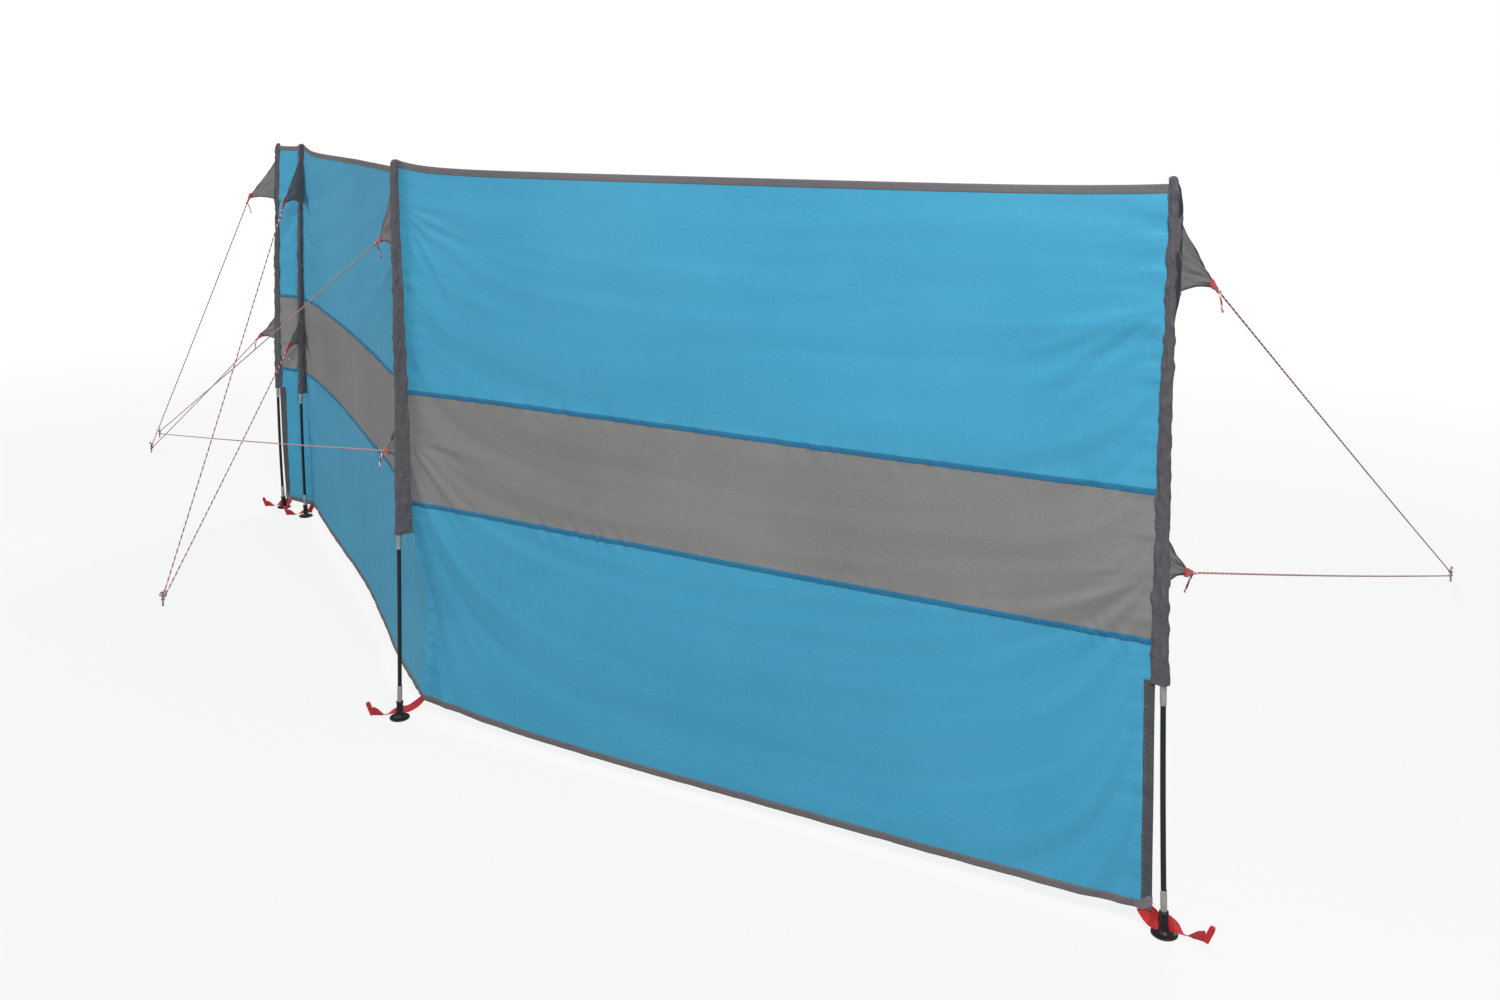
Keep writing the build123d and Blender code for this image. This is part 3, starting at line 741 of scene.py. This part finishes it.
def tube_faces(rings, count):
    """The faces of a tube through rings of points, with a face over each end."""
    faces = []
    for k in range(rings - 1):
        for j in range(count):
            i = (j + 1) % count
            faces.append((k * count + j, k * count + i, (k + 1) * count + i, (k + 1) * count + j))
    return faces + [tuple(range(count))[::-1], tuple((rings - 1) * count + k for k in range(count))]


def sleeve_piece(number):
    cap_turn = np.linspace(0.15, 1, CAP_RINGS) * math.pi / 2
    cap_shrink = np.cos(np.linspace(0.15, 0.97, CAP_RINGS) * math.pi / 2) ** 0.8
    heights = spaced(sleeve_foot, pole_top - SLEEVE_CAP, SLEEVE_CELL)
    shrinks = np.concatenate([np.ones(len(heights)), cap_shrink])
    heights = np.concatenate([heights, pole_top - SLEEVE_CAP + SLEEVE_CAP * np.sin(cap_turn)])
    rings = np.array([sleeve_ring(number, h, k) for h, k in zip(heights, shrinks)])
    # Cross folds, strongest beside the seam, and long soft ones down the tube.
    turn, rise = np.meshgrid(np.arange(RING) / RING, heights)
    seam_side = np.cos(turn * 2 * math.pi) * 0.5 + 0.5
    seed = number * 7
    out = folds(LEVEL_FOLD, turn, rise, seed) * (0.35 + seam_side) + folds(TUBE_FOLD, turn, rise, seed + 1)
    out += np.clip(folds(SHARP_FOLD, turn, rise, seed + 2, rise / 0.2), 0, SHARP_FOLD[0])
    out = np.maximum(out - 0.0004, DEEPEST_FOLD)
    out += 0.0008 * np.exp(-(rise - sleeve_foot) / 0.012)
    normal = np.roll(rings, -1, 1) - np.roll(rings, 1, 1)
    normal = unit(np.stack([normal[..., 1], -normal[..., 0], 0 * normal[..., 0]], -1))
    outer = rings + normal * (out * shrinks[:, None])[..., None]
    inner = outer - normal * SLEEVE_WALL
    inner[-CAP_RINGS:, :, 2] -= SLEEVE_WALL
    points = np.concatenate([inner[::-1], outer]).reshape(-1, 3)
    faces = tube_faces(2 * len(heights), RING)
    sleeve = add_piece(f"pole_{number}_sleeve_cloth", points, faces, sleeve_cloth)
    girth = float(np.linalg.norm(np.roll(rings, -1, 1) - rings, axis=-1).sum(1).mean())
    cut = np.stack([turn * girth, rise], -1)
    mark_cut(sleeve.data, np.concatenate([cut[::-1], cut]))
    stand_in(sleeve, f"pole_{number}_sleeve")


def wing_shade_strip(number):
    """The near-black strip of painted shade wrapped over an end sleeve's wing, from its cap to below the
    upper gusset.
    """
    rings = []
    for height in spaced(SHADE_STRIP_HEIGHTS[0], SHADE_STRIP_HEIGHTS[-1], SHADE_STRIP_CELL):
        pole, wing = pole_at(number, height)[:2], wing_at(number, height)
        slim = np.interp(height, SHADE_STRIP_HEIGHTS, SHADE_STRIP_WIDTHS)
        discs = [(pole + wing * 0.45, SHADE_STRIP_ROOT * slim), (pole + wing, SHADE_STRIP_EDGE * slim)]
        rings.append(drawn_round(discs, wing, height))
    rings = np.array(rings)
    faces = tube_faces(len(rings), RING)
    tape = add_piece(f"pole_{number}_wing_shade_strip", rings.reshape(-1, 3), faces, wing_shade_cloth)
    place = np.tile(np.arange(RING) * 0.001, (len(rings), 1))
    mark_cut(tape.data, np.stack([place, rings[..., 2]], -1))
    stand_in(tape, f"pole_{number}_sleeve")


for number in poles:
    sleeve_piece(number)
for number in END_POLES:
    wing_shade_strip(number)


# Poles: black pultruded glass-fibre rods, cut to two lengths that meet in a swaged aluminium
# ferrule. A second ferrule seats the lower rod in its moulded foot.
ROD_RADIUS = 0.0055
FERRULE_RADIUS = 0.0066
TURNED_SIDES = 40
JOINT_LENGTH = 0.047
FOOT_FERRULE = 0.042
# A rolled groove near each end of a ferrule grips the rod.
GROOVE_IN = 0.006
GROOVE_DEEP = 0.0007
GROOVE_HALF, GROOVE_FLAT = 0.0018, 0.0006


def grained(name, dark, pale, per_metre, detail=2.0, strength=0.0, depth=0.0, **sockets):
    """A hard material mottled by marks, so many in a metre across the piece and fewer along it."""
    material, tree, shader = new_finish(name, **sockets)
    place = add_node(tree, "ShaderNodeTexCoord").outputs["Object"]
    drawn = add_node(tree, "ShaderNodeMapping", {"Vector": place, "Scale": per_metre}).outputs["Vector"]
    grain = add_node(tree, "ShaderNodeTexNoise", {"Vector": drawn, "Scale": 1.0, "Detail": detail})
    grain = grain.outputs["Fac"]
    patterned(tree, shader, grain, dark, pale, grain if strength else None, strength, depth)
    return material


# Pultruded glass fibre: near black and satin, with fine lines along it from its fibres.
black_fibre = grained(
    "black_glass_fibre_rod", "0A0A0B", "1B1B1D", (900, 900, 6), strength=0.2, depth=0.0002, Roughness=0.32
)
# Drawn aluminium: soft bright metal with faint draw marks along it.
silver = grained("drawn_aluminium", "B5B5B1", "D2D2CF", (1400, 1400, 12), Metallic=1.0, Roughness=0.42)


def turned(name, number, profile, material, node):
    """A round piece on a pole, from its profile of (radius, height). It follows the pole's bow."""
    angles = np.linspace(0, 2 * math.pi, TURNED_SIDES, endpoint=False)
    ways = np.stack([np.cos(angles), np.sin(angles), 0 * angles], -1)
    points = [pole_at(number, z) + UP * z + ways * r for r, z in profile]
    piece = add_piece(name, np.concatenate(points), tube_faces(len(profile), TURNED_SIDES), material)
    stand_in(piece, node)


def tube_profile(radius, low, high, rim=0.0007):
    profile = [(radius - rim, low), (radius - rim * 0.3, low + rim * 0.3)]
    profile += [(radius, z) for z in spaced(low + rim, high - rim, 0.045)]
    return profile + [(radius - rim * 0.3, high - rim * 0.3), (radius - rim, high)]


rod_foot, rod_top = (corner.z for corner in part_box("pole_1_rods"))
foot_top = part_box("pole_1_foot")[1].z
joint_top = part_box("pole_1_ferrules")[1].z
joint = joint_top - JOINT_LENGTH / 2
for number in poles:
    for name, low, high in (("lower_rod", rod_foot, joint), ("upper_rod", joint, rod_top)):
        profile = tube_profile(ROD_RADIUS, low, high)
        turned(f"pole_{number}_{name}", number, profile, black_fibre, f"pole_{number}_rods")
    for name, low, length in (
        ("joint_ferrule", joint_top - JOINT_LENGTH, JOINT_LENGTH), ("foot_ferrule", foot_top, FOOT_FERRULE),
    ):
        grip = [
            (FERRULE_RADIUS - deep, low + groove + rise)
            for groove in (GROOVE_IN, length - GROOVE_IN)
            for deep, rise in (
                (0, -GROOVE_HALF), (GROOVE_DEEP, -GROOVE_FLAT), (GROOVE_DEEP, GROOVE_FLAT), (0, GROOVE_HALF)
            )
        ]
        profile = tube_profile(FERRULE_RADIUS, low, low + length, 0.0005)
        profile[3:3] = grip
        turned(f"pole_{number}_{name}", number, profile, silver, f"pole_{number}_ferrules")


# Feet: one nylon moulding each, a socket that flares into a round flange with a raised rim. The
# lower rod is pushed into the socket, and the foot stands on the ground.
FOOT_RADIUS = 0.0085
LIP = 0.0008
LIP_LOW, LIP_HIGH = 0.006, 0.005
FLARE = 0.0095
FLANGE_RADIUS = 0.0265
FLANGE_THICK = 0.004
SOLE_BEVEL = (0.001, 0.0009)
RIM_FLAT, RIM_FOOT = 0.0026, 0.0034
PLATE_TOP = FLANGE_THICK - 0.0009
# The profile starts and stops this close to its axis.
NEAR_AXIS = 0.0001

# Moulded nylon: black and satin, with the fine even grain of its mould.
black_foot = grained(
    "black_moulded_nylon", "101012", "1C1C1F", (700, 700, 700), 3.0, 0.25, 0.0003, Roughness=0.45
)
foot_profile = [(NEAR_AXIS, 0.0), (FLANGE_RADIUS - SOLE_BEVEL[0], 0.0), (FLANGE_RADIUS, SOLE_BEVEL[1])]
foot_profile += [(FLANGE_RADIUS, FLANGE_THICK - LIP), (FLANGE_RADIUS - LIP, FLANGE_THICK)]
foot_profile += [(FLANGE_RADIUS - RIM_FLAT, FLANGE_THICK), (FLANGE_RADIUS - RIM_FOOT, PLATE_TOP)]
foot_profile += [
    (FOOT_RADIUS + FLARE * (1 - math.sin(a)), PLATE_TOP + FLARE * (1 - math.cos(a)))
    for a in np.linspace(0, math.pi / 2, 9)
]
foot_profile += [(FOOT_RADIUS, foot_top - LIP_LOW), (FOOT_RADIUS + LIP, foot_top - LIP_HIGH)]
foot_profile += [(FOOT_RADIUS + LIP, foot_top - LIP), (FOOT_RADIUS, foot_top), (NEAR_AXIS, foot_top)]
for number in poles:
    name, node = f"pole_{number}_moulded_foot", f"pole_{number}_foot"
    turned(name, number, foot_profile, black_foot, node)


# Foot straps: flat woven red webbing, sewn under the cloth's bottom corner. It comes down aslant,
# passes round the back of the foot, twists over and ends in a narrow loop for a ground peg.
STRAP_HALF = 0.017
STRAP_THICK = 0.0016
STRAP_STEPS = 110
STRAP_HEADINGS = {1: 6.0, 2: 198.0, 3: 198.0, 4: 198.0}
# At a fold the strap is gathered narrow. At a free end it spreads over the cloth's corner.
GATHERED = 0.55
SEWN_FROM_END = 0.018
OFF_GROUND = 0.0003
LOOP_AT = 0.077
LOOP_HEIGHT = 0.034
LOOP_LEAN = 0.015
LOOP_APART = 0.0019
LOOP_HALF, LOOP_TIP_HALF = 0.0058, 0.0036
# The loop goes up and comes back down close behind itself: how far up it each place lies, and
# how far to either side.
over_top = np.linspace(0.4, 2.7, 9)
going_up, coming_down = np.linspace(0, 0.93, 9), np.linspace(0.93, 0.05, 9)
loop_rise = np.concatenate([going_up, 0.93 + 0.07 * np.sin(over_top), coming_down])
loop_side = np.concatenate([np.full(9, -1.0), -np.cos(over_top), np.full(9, 1.0)]) * LOOP_APART

# Polypropylene webbing: bright red and slightly shiny, with slanting ribs over lengthwise cords.
red_webbing, web_tree, web_shader = new_finish("red_polypropylene_webbing", Roughness=0.55, Sheen_Weight=0.2)
cut = add_node(web_tree, "ShaderNodeUVMap", uv_map="cut").outputs["UV"]
ribs, cords = [
    add_node(
        web_tree, "ShaderNodeTexWave", {"Vector": cut, "Scale": math.pi / 10 / spacing, "Distortion": bent},
        bands_direction=way,
    ).outputs["Fac"]
    for spacing, bent, way in ((0.0022, 0.5, "DIAGONAL"), (0.0036, 0.0, "X"))
]
web_relief = add_node(web_tree, "ShaderNodeMath", {0: ribs, 1: cords}, operation="ADD").outputs[0]
web_tone = add_node(web_tree, "ShaderNodeMapRange", {"Value": web_relief, "From Min": 0.0, "From Max": 2.0})
patterned(web_tree, web_shader, web_tone.outputs["Result"], "A3131B", "D02128", web_relief, 0.5, 0.0005)


def smooth_path(points, count):
    """Even steps along a smooth curve that passes through each of some points."""
    points = np.asarray(points, float)
    padded = np.vstack([2 * points[0] - points[1], points, 2 * points[-1] - points[-2]])
    made = []
    for t in np.linspace(0, len(points) - 1 - 1e-9, count):
        k = int(t)
        f = t - k
        a, b, c, d = padded[k : k + 4]
        square, cube = (2 * a - 5 * b + 4 * c - d) * f * f, (3 * b - a - 3 * c + d) * f**3
        made.append(0.5 * (2 * b + (c - a) * f + square + cube))
    return np.array(made)


def webbing(name, centres, sides, halves, thickness, columns=7):
    """A flat band along a path. sides are the directions of its width, and halves its half widths."""
    run = unit(np.gradient(centres, axis=0))
    face = unit(np.cross(run, sides))
    sides = np.cross(face, run)
    place = np.linspace(-1, 1, columns)
    middle = centres[:, None] + sides[:, None] * (place[None, :] * halves[:, None])[..., None]
    # Woven edges are thinner than the middle.
    half = face[:, None] * (thickness / 2 * (1 - 0.45 * place**8))[None, :, None]
    flat = np.stack(np.meshgrid(place * halves.max(), walked(centres)), -1)
    return shell(name, (middle + half)[:, ::-1], (middle - half)[:, ::-1], flat, red_webbing)


def joined(name, parts):
    """Several meshes as one piece."""
    data = bmesh.new()
    for part in parts:
        data.from_mesh(part.data)
    mesh = parts[0].data.copy()
    data.to_mesh(mesh)
    data.free()
    for part in parts:
        bpy.data.objects.remove(part)
    return put_in_scene(name, mesh)


for number, pole in poles.items():
    seam = seam_point(number, cloth_foot)
    inward = unit(seam - pole)
    outward = level_way(STRAP_HEADINGS[number])
    back = np.cross(UP, outward) * (1 if outward[0] > 0 else -1)
    # It starts at the fold between two bays, or inside the folded corner of a free end.
    start, spread = seam, GATHERED
    if number in END_POLES:
        bay = bays[1] if number == 1 else bays[3]
        place = bay.length - SEWN_FROM_END if number == 1 else SEWN_FROM_END
        start = bay.points(np.array([place]), np.array([cloth_foot]))[0] * (1, 1, 0)
        spread = 1.0
    # Each row holds a place on the strap's middle, its half width, and how far it has turned over.
    path = [
        (start + UP * (cloth_foot + 0.003), 0.9 * spread, 18),
        (pole + (start - pole) * 0.68 + back * 0.002 + UP * 0.0290, 1.0 * spread, 38),
        (pole + inward * 0.019 + back * 0.007 + UP * 0.0190, 0.96 * spread, 58),
        (pole + back * 0.0125 + UP * 0.0190, 0.85 * spread, 72),
        (pole + outward * 0.018 + back * 0.007 + UP * 0.0145, 0.68 * spread, 58),
        (pole + outward * 0.037 + UP * 0.0068, 0.20, -12),
        (pole + outward * 0.054 + UP * 0.0080, 0.42, -70),
        (pole + outward * 0.066 + UP * 0.0110, 0.60, -84),
        (pole + outward * 0.078 + UP * 0.0125, 0.70, -86),
    ]
    places, widths, turns = zip(*path)
    centres = smooth_path(places, STRAP_STEPS)
    steps = np.linspace(0, len(path) - 1, STRAP_STEPS)
    halves = np.interp(steps, range(len(path)), widths) * STRAP_HALF
    turns = np.radians(np.interp(steps, range(len(path)), turns))
    lowest = np.abs(np.sin(turns)) * halves + STRAP_THICK / 2 + OFF_GROUND
    centres[:, 2] = np.maximum(centres[:, 2], lowest)
    blend = np.clip(steps / 3.0, 0, 1)[:, None]
    level_side = unit(back * blend - inward * (1 - blend))
    sides = level_side * np.cos(turns)[:, None] + UP * np.sin(turns)[:, None]
    band = webbing("strap_band", centres, sides, halves, STRAP_THICK)
    lean = outward * LOOP_LEAN + UP * LOOP_HEIGHT
    loop_foot = pole + outward * LOOP_AT + UP * 0.002
    centres = loop_foot + lean * loop_rise[:, None] + back * (loop_side - 0.001)[:, None]
    sides = np.tile(unit(outward * lean[2] - UP * LOOP_LEAN), (len(centres), 1))
    halves = np.interp(loop_rise, [0.88, 1], [LOOP_HALF, LOOP_TIP_HALF])
    loop = webbing("strap_loop", centres, sides, halves, STRAP_THICK)
    for vertex in loop.data.vertices:
        vertex.co.z = max(vertex.co.z, OFF_GROUND)
    stand_in(joined(f"pole_{number}_webbing", [band, loop]), f"pole_{number}_strap")


# Guy gussets: triangles of the sleeve's cloth sewn into its outer side, with a turned hem. They
# spread each rope's pull over a length of the sleeve, and fold towards their tips.
GUSSET_THICK = 0.0011
HEM_THICK = GUSSET_THICK * 2.1
TIP_HALF = 0.006
SEWN_IN = 0.004
HEM_WIDTH = 0.0045
HEM_PAST = 0.0004
HEEL_HOLLOW, CROWN_HOLLOW = 0.008, 0.005
UPPER = {"top": 1.437, "foot": 1.270, "tip": 1.277, "seed": 3}
LOWER = {"top": 0.794, "foot": 0.697, "tip": 0.705, "seed": 8}
UPPER_REACHES = {1: 0.148, 2: 0.125, 3: 0.125, 4: 0.160}
LOWER_REACHES = {1: 0.082, 2: 0.090, 3: 0.090, 4: 0.095}
# The end poles' gussets are drawn a little to one side of their ropes' line, in degrees.
SWINGS = {1: -11, 2: 0, 3: 0, 4: 15}
# The gussets' folds, as the cloth's but fanned about the tip: broad ones and sharp creases.
BROAD_CREASE = (0.0050, 1 / 6.5, 0.09)
SHARP_CREASE = (0.0030, 1 / 11, 0.08)

# The same oxford cloth in one layer, drawn paler as painted light for the light from behind that shines
# through it, and in a doubled hem.
gusset_cloth = woven("grey_oxford_cloth", "79787A", "6B6A6D", 0.0022)
hem_cloth = woven("grey_oxford_hem", "58575C", "4D4B50", 0.0014)


def gusset_way(number):
    """The level direction that a pole's gussets point in."""
    away, _ = guy_plane(number)
    return level_way(math.degrees(math.atan2(away[1], away[0])) + SWINGS[number])


def gusset_shapes(number):
    return ((UPPER, UPPER_REACHES[number]), (LOWER, LOWER_REACHES[number]))


def gusset_edges(shape, out):
    """The heights of a gusset's lower and upper edge, out from its sewn edge (0) to its tip (1)."""
    hollow = np.sin(out * math.pi)
    heel = shape["foot"] + (shape["tip"] - TIP_HALF - shape["foot"]) * out + HEEL_HOLLOW * hollow
    crown = shape["top"] + (shape["tip"] + TIP_HALF - shape["top"]) * out - CROWN_HOLLOW * hollow
    return heel, crown


def gusset_grid(number, shape, full, out, rise):
    """Places on a gusset, creased towards its tip, and its flat cut."""
    away = gusset_way(number)
    side = np.cross(UP, away)
    reach = SEWN_IN + (full - SEWN_IN) * out
    turn = np.arctan2(rise - shape["tip"], full + 0.025 - reach)
    pull = np.sin(np.clip(1 - out, 0, 1) * math.pi) ** 0.7
    seed = number * 11 + shape["seed"]
    creases = folds(BROAD_CREASE, turn, reach, seed)
    creases += 0.4 * SHARP_CREASE[0] - np.abs(folds(SHARP_CREASE, turn, reach, seed + 1))
    points = pole_at(number, rise) + away * reach[..., None] + side * (creases * pull)[..., None]
    points[..., 2] = rise
    return points, np.stack([reach, rise], -1), side


for number in poles:
    parts, hems = [], []
    for shape, full in gusset_shapes(number):
        out, share = np.meshgrid(np.linspace(0, 1, 32), np.linspace(0, 1, 28))
        heel, crown = gusset_edges(shape, out)
        middle, cut, side = gusset_grid(number, shape, full, out, heel + (crown - heel) * share)
        face = side * GUSSET_THICK / 2
        parts.append(shell("gusset", middle - face, middle + face, cut, gusset_cloth))
        # The turned hem along each free edge is a doubled strip.
        out, share = np.meshgrid(np.linspace(0, 1, 32), np.linspace(0, 1, 4))
        heel, crown = gusset_edges(shape, out)
        face = side * HEM_THICK / 2
        for rise in (heel + HEM_WIDTH * share - HEM_PAST, crown - HEM_WIDTH * (1 - share) + HEM_PAST):
            strip, cut, _ = gusset_grid(number, shape, full, out, rise)
            hems.append(shell("hem", strip - face, strip + face, cut, hem_cloth))
    gusset = joined(f"pole_{number}_gusset_cloth", parts)
    hem = joined(f"pole_{number}_gusset_hems", hems)
    for piece in (gusset, hem):
        stand_in(piece, f"pole_{number}_gussets")


# Guy ropes: braided cord 4 mm thick, red with white and black yarns. Each is knotted with a short
# tail to a tab of red webbing, folded over its gusset's tip and sewn, and runs taut to the peg.
ROPE_RADIUS = 0.002
ROPE_SIDES = 9
ROPE_CELL = 0.004
ROPE_SLACK = 0.004
STRANDS = 3
TWIST_PITCH = 0.018
FLECK_PITCH = 0.024
TAIL_LENGTH = 0.055
TAB_KNOT, PEG_KNOT = 0.0042, 0.0038
# The heights at which the upper and the lower rope meet the peg.
PEG_ENDS = (0.031, 0.020)
PEG_RADIUS = 0.003
TAB_LENGTH = 0.026
TAB_THICK = 0.0042
# Along a tab from the gusset to the knot: shares of its length, then its half width.
TAB_PLACES = [-0.55, 0.0, 0.6, 1.05]
TAB_HALVES = [0.0085, 0.0090, 0.0056, 0.0042]

# Braided cord: soft and matt, flecked where a pale and a dark yarn come round among the red.
guy_cord, cord_tree, cord_shader = new_finish("flecked_braided_cord", Roughness=0.7, Sheen_Weight=0.15)
cut = add_node(cord_tree, "ShaderNodeUVMap", uv_map="cut").outputs["UV"]
ways = add_node(cord_tree, "ShaderNodeSeparateXYZ", {"Vector": cut}).outputs
beat = add_node(
    cord_tree, "ShaderNodeMath", {0: ways["Y"], 1: 1 / FLECK_PITCH, 2: ways["X"]}, operation="MULTIPLY_ADD"
).outputs[0]
step = add_node(cord_tree, "ShaderNodeMath", {0: beat}, operation="FRACT").outputs[0]
yarns = add_node(cord_tree, "ShaderNodeValToRGB", {"Fac": step})
yarns.color_ramp.interpolation = "CONSTANT"
yarns.color_ramp.elements[0].color = linear("E9D5D6")
yarns.color_ramp.elements[1].position = 0.36
yarns.color_ramp.elements[1].color = linear("C2202B")
yarns.color_ramp.elements.new(0.68).color = linear("5A1A26")
cord_tree.links.new(yarns.outputs["Color"], cord_shader.inputs["Base Color"])


def tube(path, radius, sides, twist=0.0, lobes=0, relief=0.0):
    """A round tube along a path, as points, faces and flat places. It may be lobed like laid strands."""
    path = np.asarray(path, float)
    run = unit(np.gradient(path, axis=0))
    along = walked(path)
    angles = 2 * math.pi * np.arange(sides) / sides
    side = np.cross(run[0], UP if abs(run[0][2]) < 0.9 else np.array([1.0, 0, 0]))
    points, flat = [], []
    for k, place in enumerate(path):
        side = unit(side - run[k] * side.dot(run[k]))
        over = np.cross(run[k], side)
        reach = radius * (1 + relief * np.cos(lobes * angles + twist * along[k]))[:, None]
        points.append(place + (side * np.cos(angles)[:, None] + over * np.sin(angles)[:, None]) * reach)
        flat.append(np.column_stack([angles / (2 * math.pi), np.full(sides, along[k])]))
    return np.concatenate(points), tube_faces(len(path), sides), np.concatenate(flat)


def tubes_piece(name, tubes, material):
    """Several tubes as one piece."""
    points, quads, flats = zip(*tubes)
    faces, first = [], 0
    for k, made in enumerate(points):
        faces += [tuple(corner + first for corner in quad) for quad in quads[k]]
        first += len(made)
    piece = add_piece(name, np.concatenate(points), faces, material)
    mark_cut(piece.data, np.concatenate(flats))
    return piece


def rope_tube(path):
    return tube(path, ROPE_RADIUS, ROPE_SIDES, 2 * math.pi / TWIST_PITCH * STRANDS, STRANDS, 0.12)


def knot_path(centre, way, size):
    """An overhand knot's line, lying along the rope."""
    side = unit(np.cross(way, UP))
    over = np.cross(side, way)
    t = np.linspace(0, 2 * math.pi, 60)[:, None]
    x = np.sin(t) + 2 * np.sin(2 * t)
    y = np.cos(t) - 2 * np.cos(2 * t)
    return centre + (side * x + way * y * 1.1 - over * np.sin(3 * t) * 1.2) * size / 3


def tail_path(start, way, length):
    """A short free end that droops from its knot."""
    t = np.linspace(0, 1, 12)[:, None]
    return start + way * length * 0.55 * t - UP * length * 0.75 * t**1.4


tab_parts = []
for number in poles:
    away, distance = guy_plane(number)
    tubes = []
    for k, (shape, full) in enumerate(gusset_shapes(number)):
        tip = pole_at(number, shape["tip"]) + gusset_way(number) * full + UP * shape["tip"]
        peg = poles[number] + away * (distance + PEG_RADIUS) + UP * PEG_ENDS[k]
        way = unit(peg - tip)
        side = unit(np.cross(UP, way))
        start = tip + way * (TAB_LENGTH - 0.002)
        knot = start + way * 0.012
        stop = peg - way * 0.006
        t = spaced(0, 1, ROPE_CELL / np.linalg.norm(stop - start))[:, None]
        tubes.append(rope_tube(start + (stop - start) * t - UP * ROPE_SLACK * np.sin(t * math.pi)))
        tubes.append(rope_tube(knot_path(knot, way, TAB_KNOT)))
        tubes.append(rope_tube(knot_path(stop - way * 0.012, way, PEG_KNOT)))
        # The rope goes once round the peg.
        turn = np.linspace(0, 2 * math.pi, 22)[:, None]
        ring = (away * np.cos(turn) + side * np.sin(turn)) * (PEG_RADIUS + ROPE_RADIUS)
        tubes.append(rope_tube(peg + ring + UP * 0.001 * turn / 2))
        tail_way = side * (0.5 if k else -0.4) - away * 0.3
        tubes.append(rope_tube(tail_path(knot, tail_way, TAIL_LENGTH)))
        # The tab is folded over the tip and narrows to the knot.
        places = np.linspace(TAB_PLACES[0], TAB_PLACES[-1], 18)
        centres = tip + way * TAB_LENGTH * places[:, None]
        halves = np.interp(places, TAB_PLACES, TAB_HALVES)
        sides = np.tile(np.cross(side, way), (len(places), 1))
        tab_parts.append(webbing(f"tab_{number}_{k}", centres, sides, halves, TAB_THICK, 9))
    ropes = tubes_piece(f"pole_{number}_guys", tubes, guy_cord)
    stand_in(ropes, f"pole_{number}_guy_ropes")
stand_in(joined("webbing_tabs", tab_parts), "guy_tabs")


# Guy pegs: galvanised steel wire, pushed into the ground and bent to a hook at the top, which
# keeps the ropes from slipping off. They show from the ground up.
PEG_HEIGHT = 0.040
HOOK_RADIUS = 0.008
PEG_SIDES = 16
PEG_CELL = 0.006
BEHIND_ROPE = 0.0002
SPANGLES_PER_METRE = 500.0

# Galvanised steel: a cool bright metal with small patches where its zinc set.
steel, steel_tree, steel_shader = new_finish("galvanised_steel_wire", Metallic=1.0, Roughness=0.4)
place = add_node(steel_tree, "ShaderNodeTexCoord").outputs["Object"]
spangle = add_node(steel_tree, "ShaderNodeTexVoronoi", {"Vector": place, "Scale": SPANGLES_PER_METRE})
patterned(steel_tree, steel_shader, spangle.outputs["Distance"], "9A9C9E", "C4C6C8")

hooks = []
for number in poles:
    away, distance = guy_plane(number)
    shank = poles[number] + away * (distance + PEG_RADIUS + BEHIND_ROPE)
    rising = [shank + UP * h for h in spaced(0, PEG_HEIGHT - 0.002, PEG_CELL)]
    centre = shank + away * HOOK_RADIUS + UP * PEG_HEIGHT
    turns = np.linspace(0, math.pi, 17)
    bend = [centre + (-away * math.cos(a) + UP * math.sin(a)) * HOOK_RADIUS for a in turns]
    hooks.append(tube(rising + bend, PEG_RADIUS, PEG_SIDES))
stand_in(tubes_piece("steel_pegs", hooks, steel), "guy_pegs")
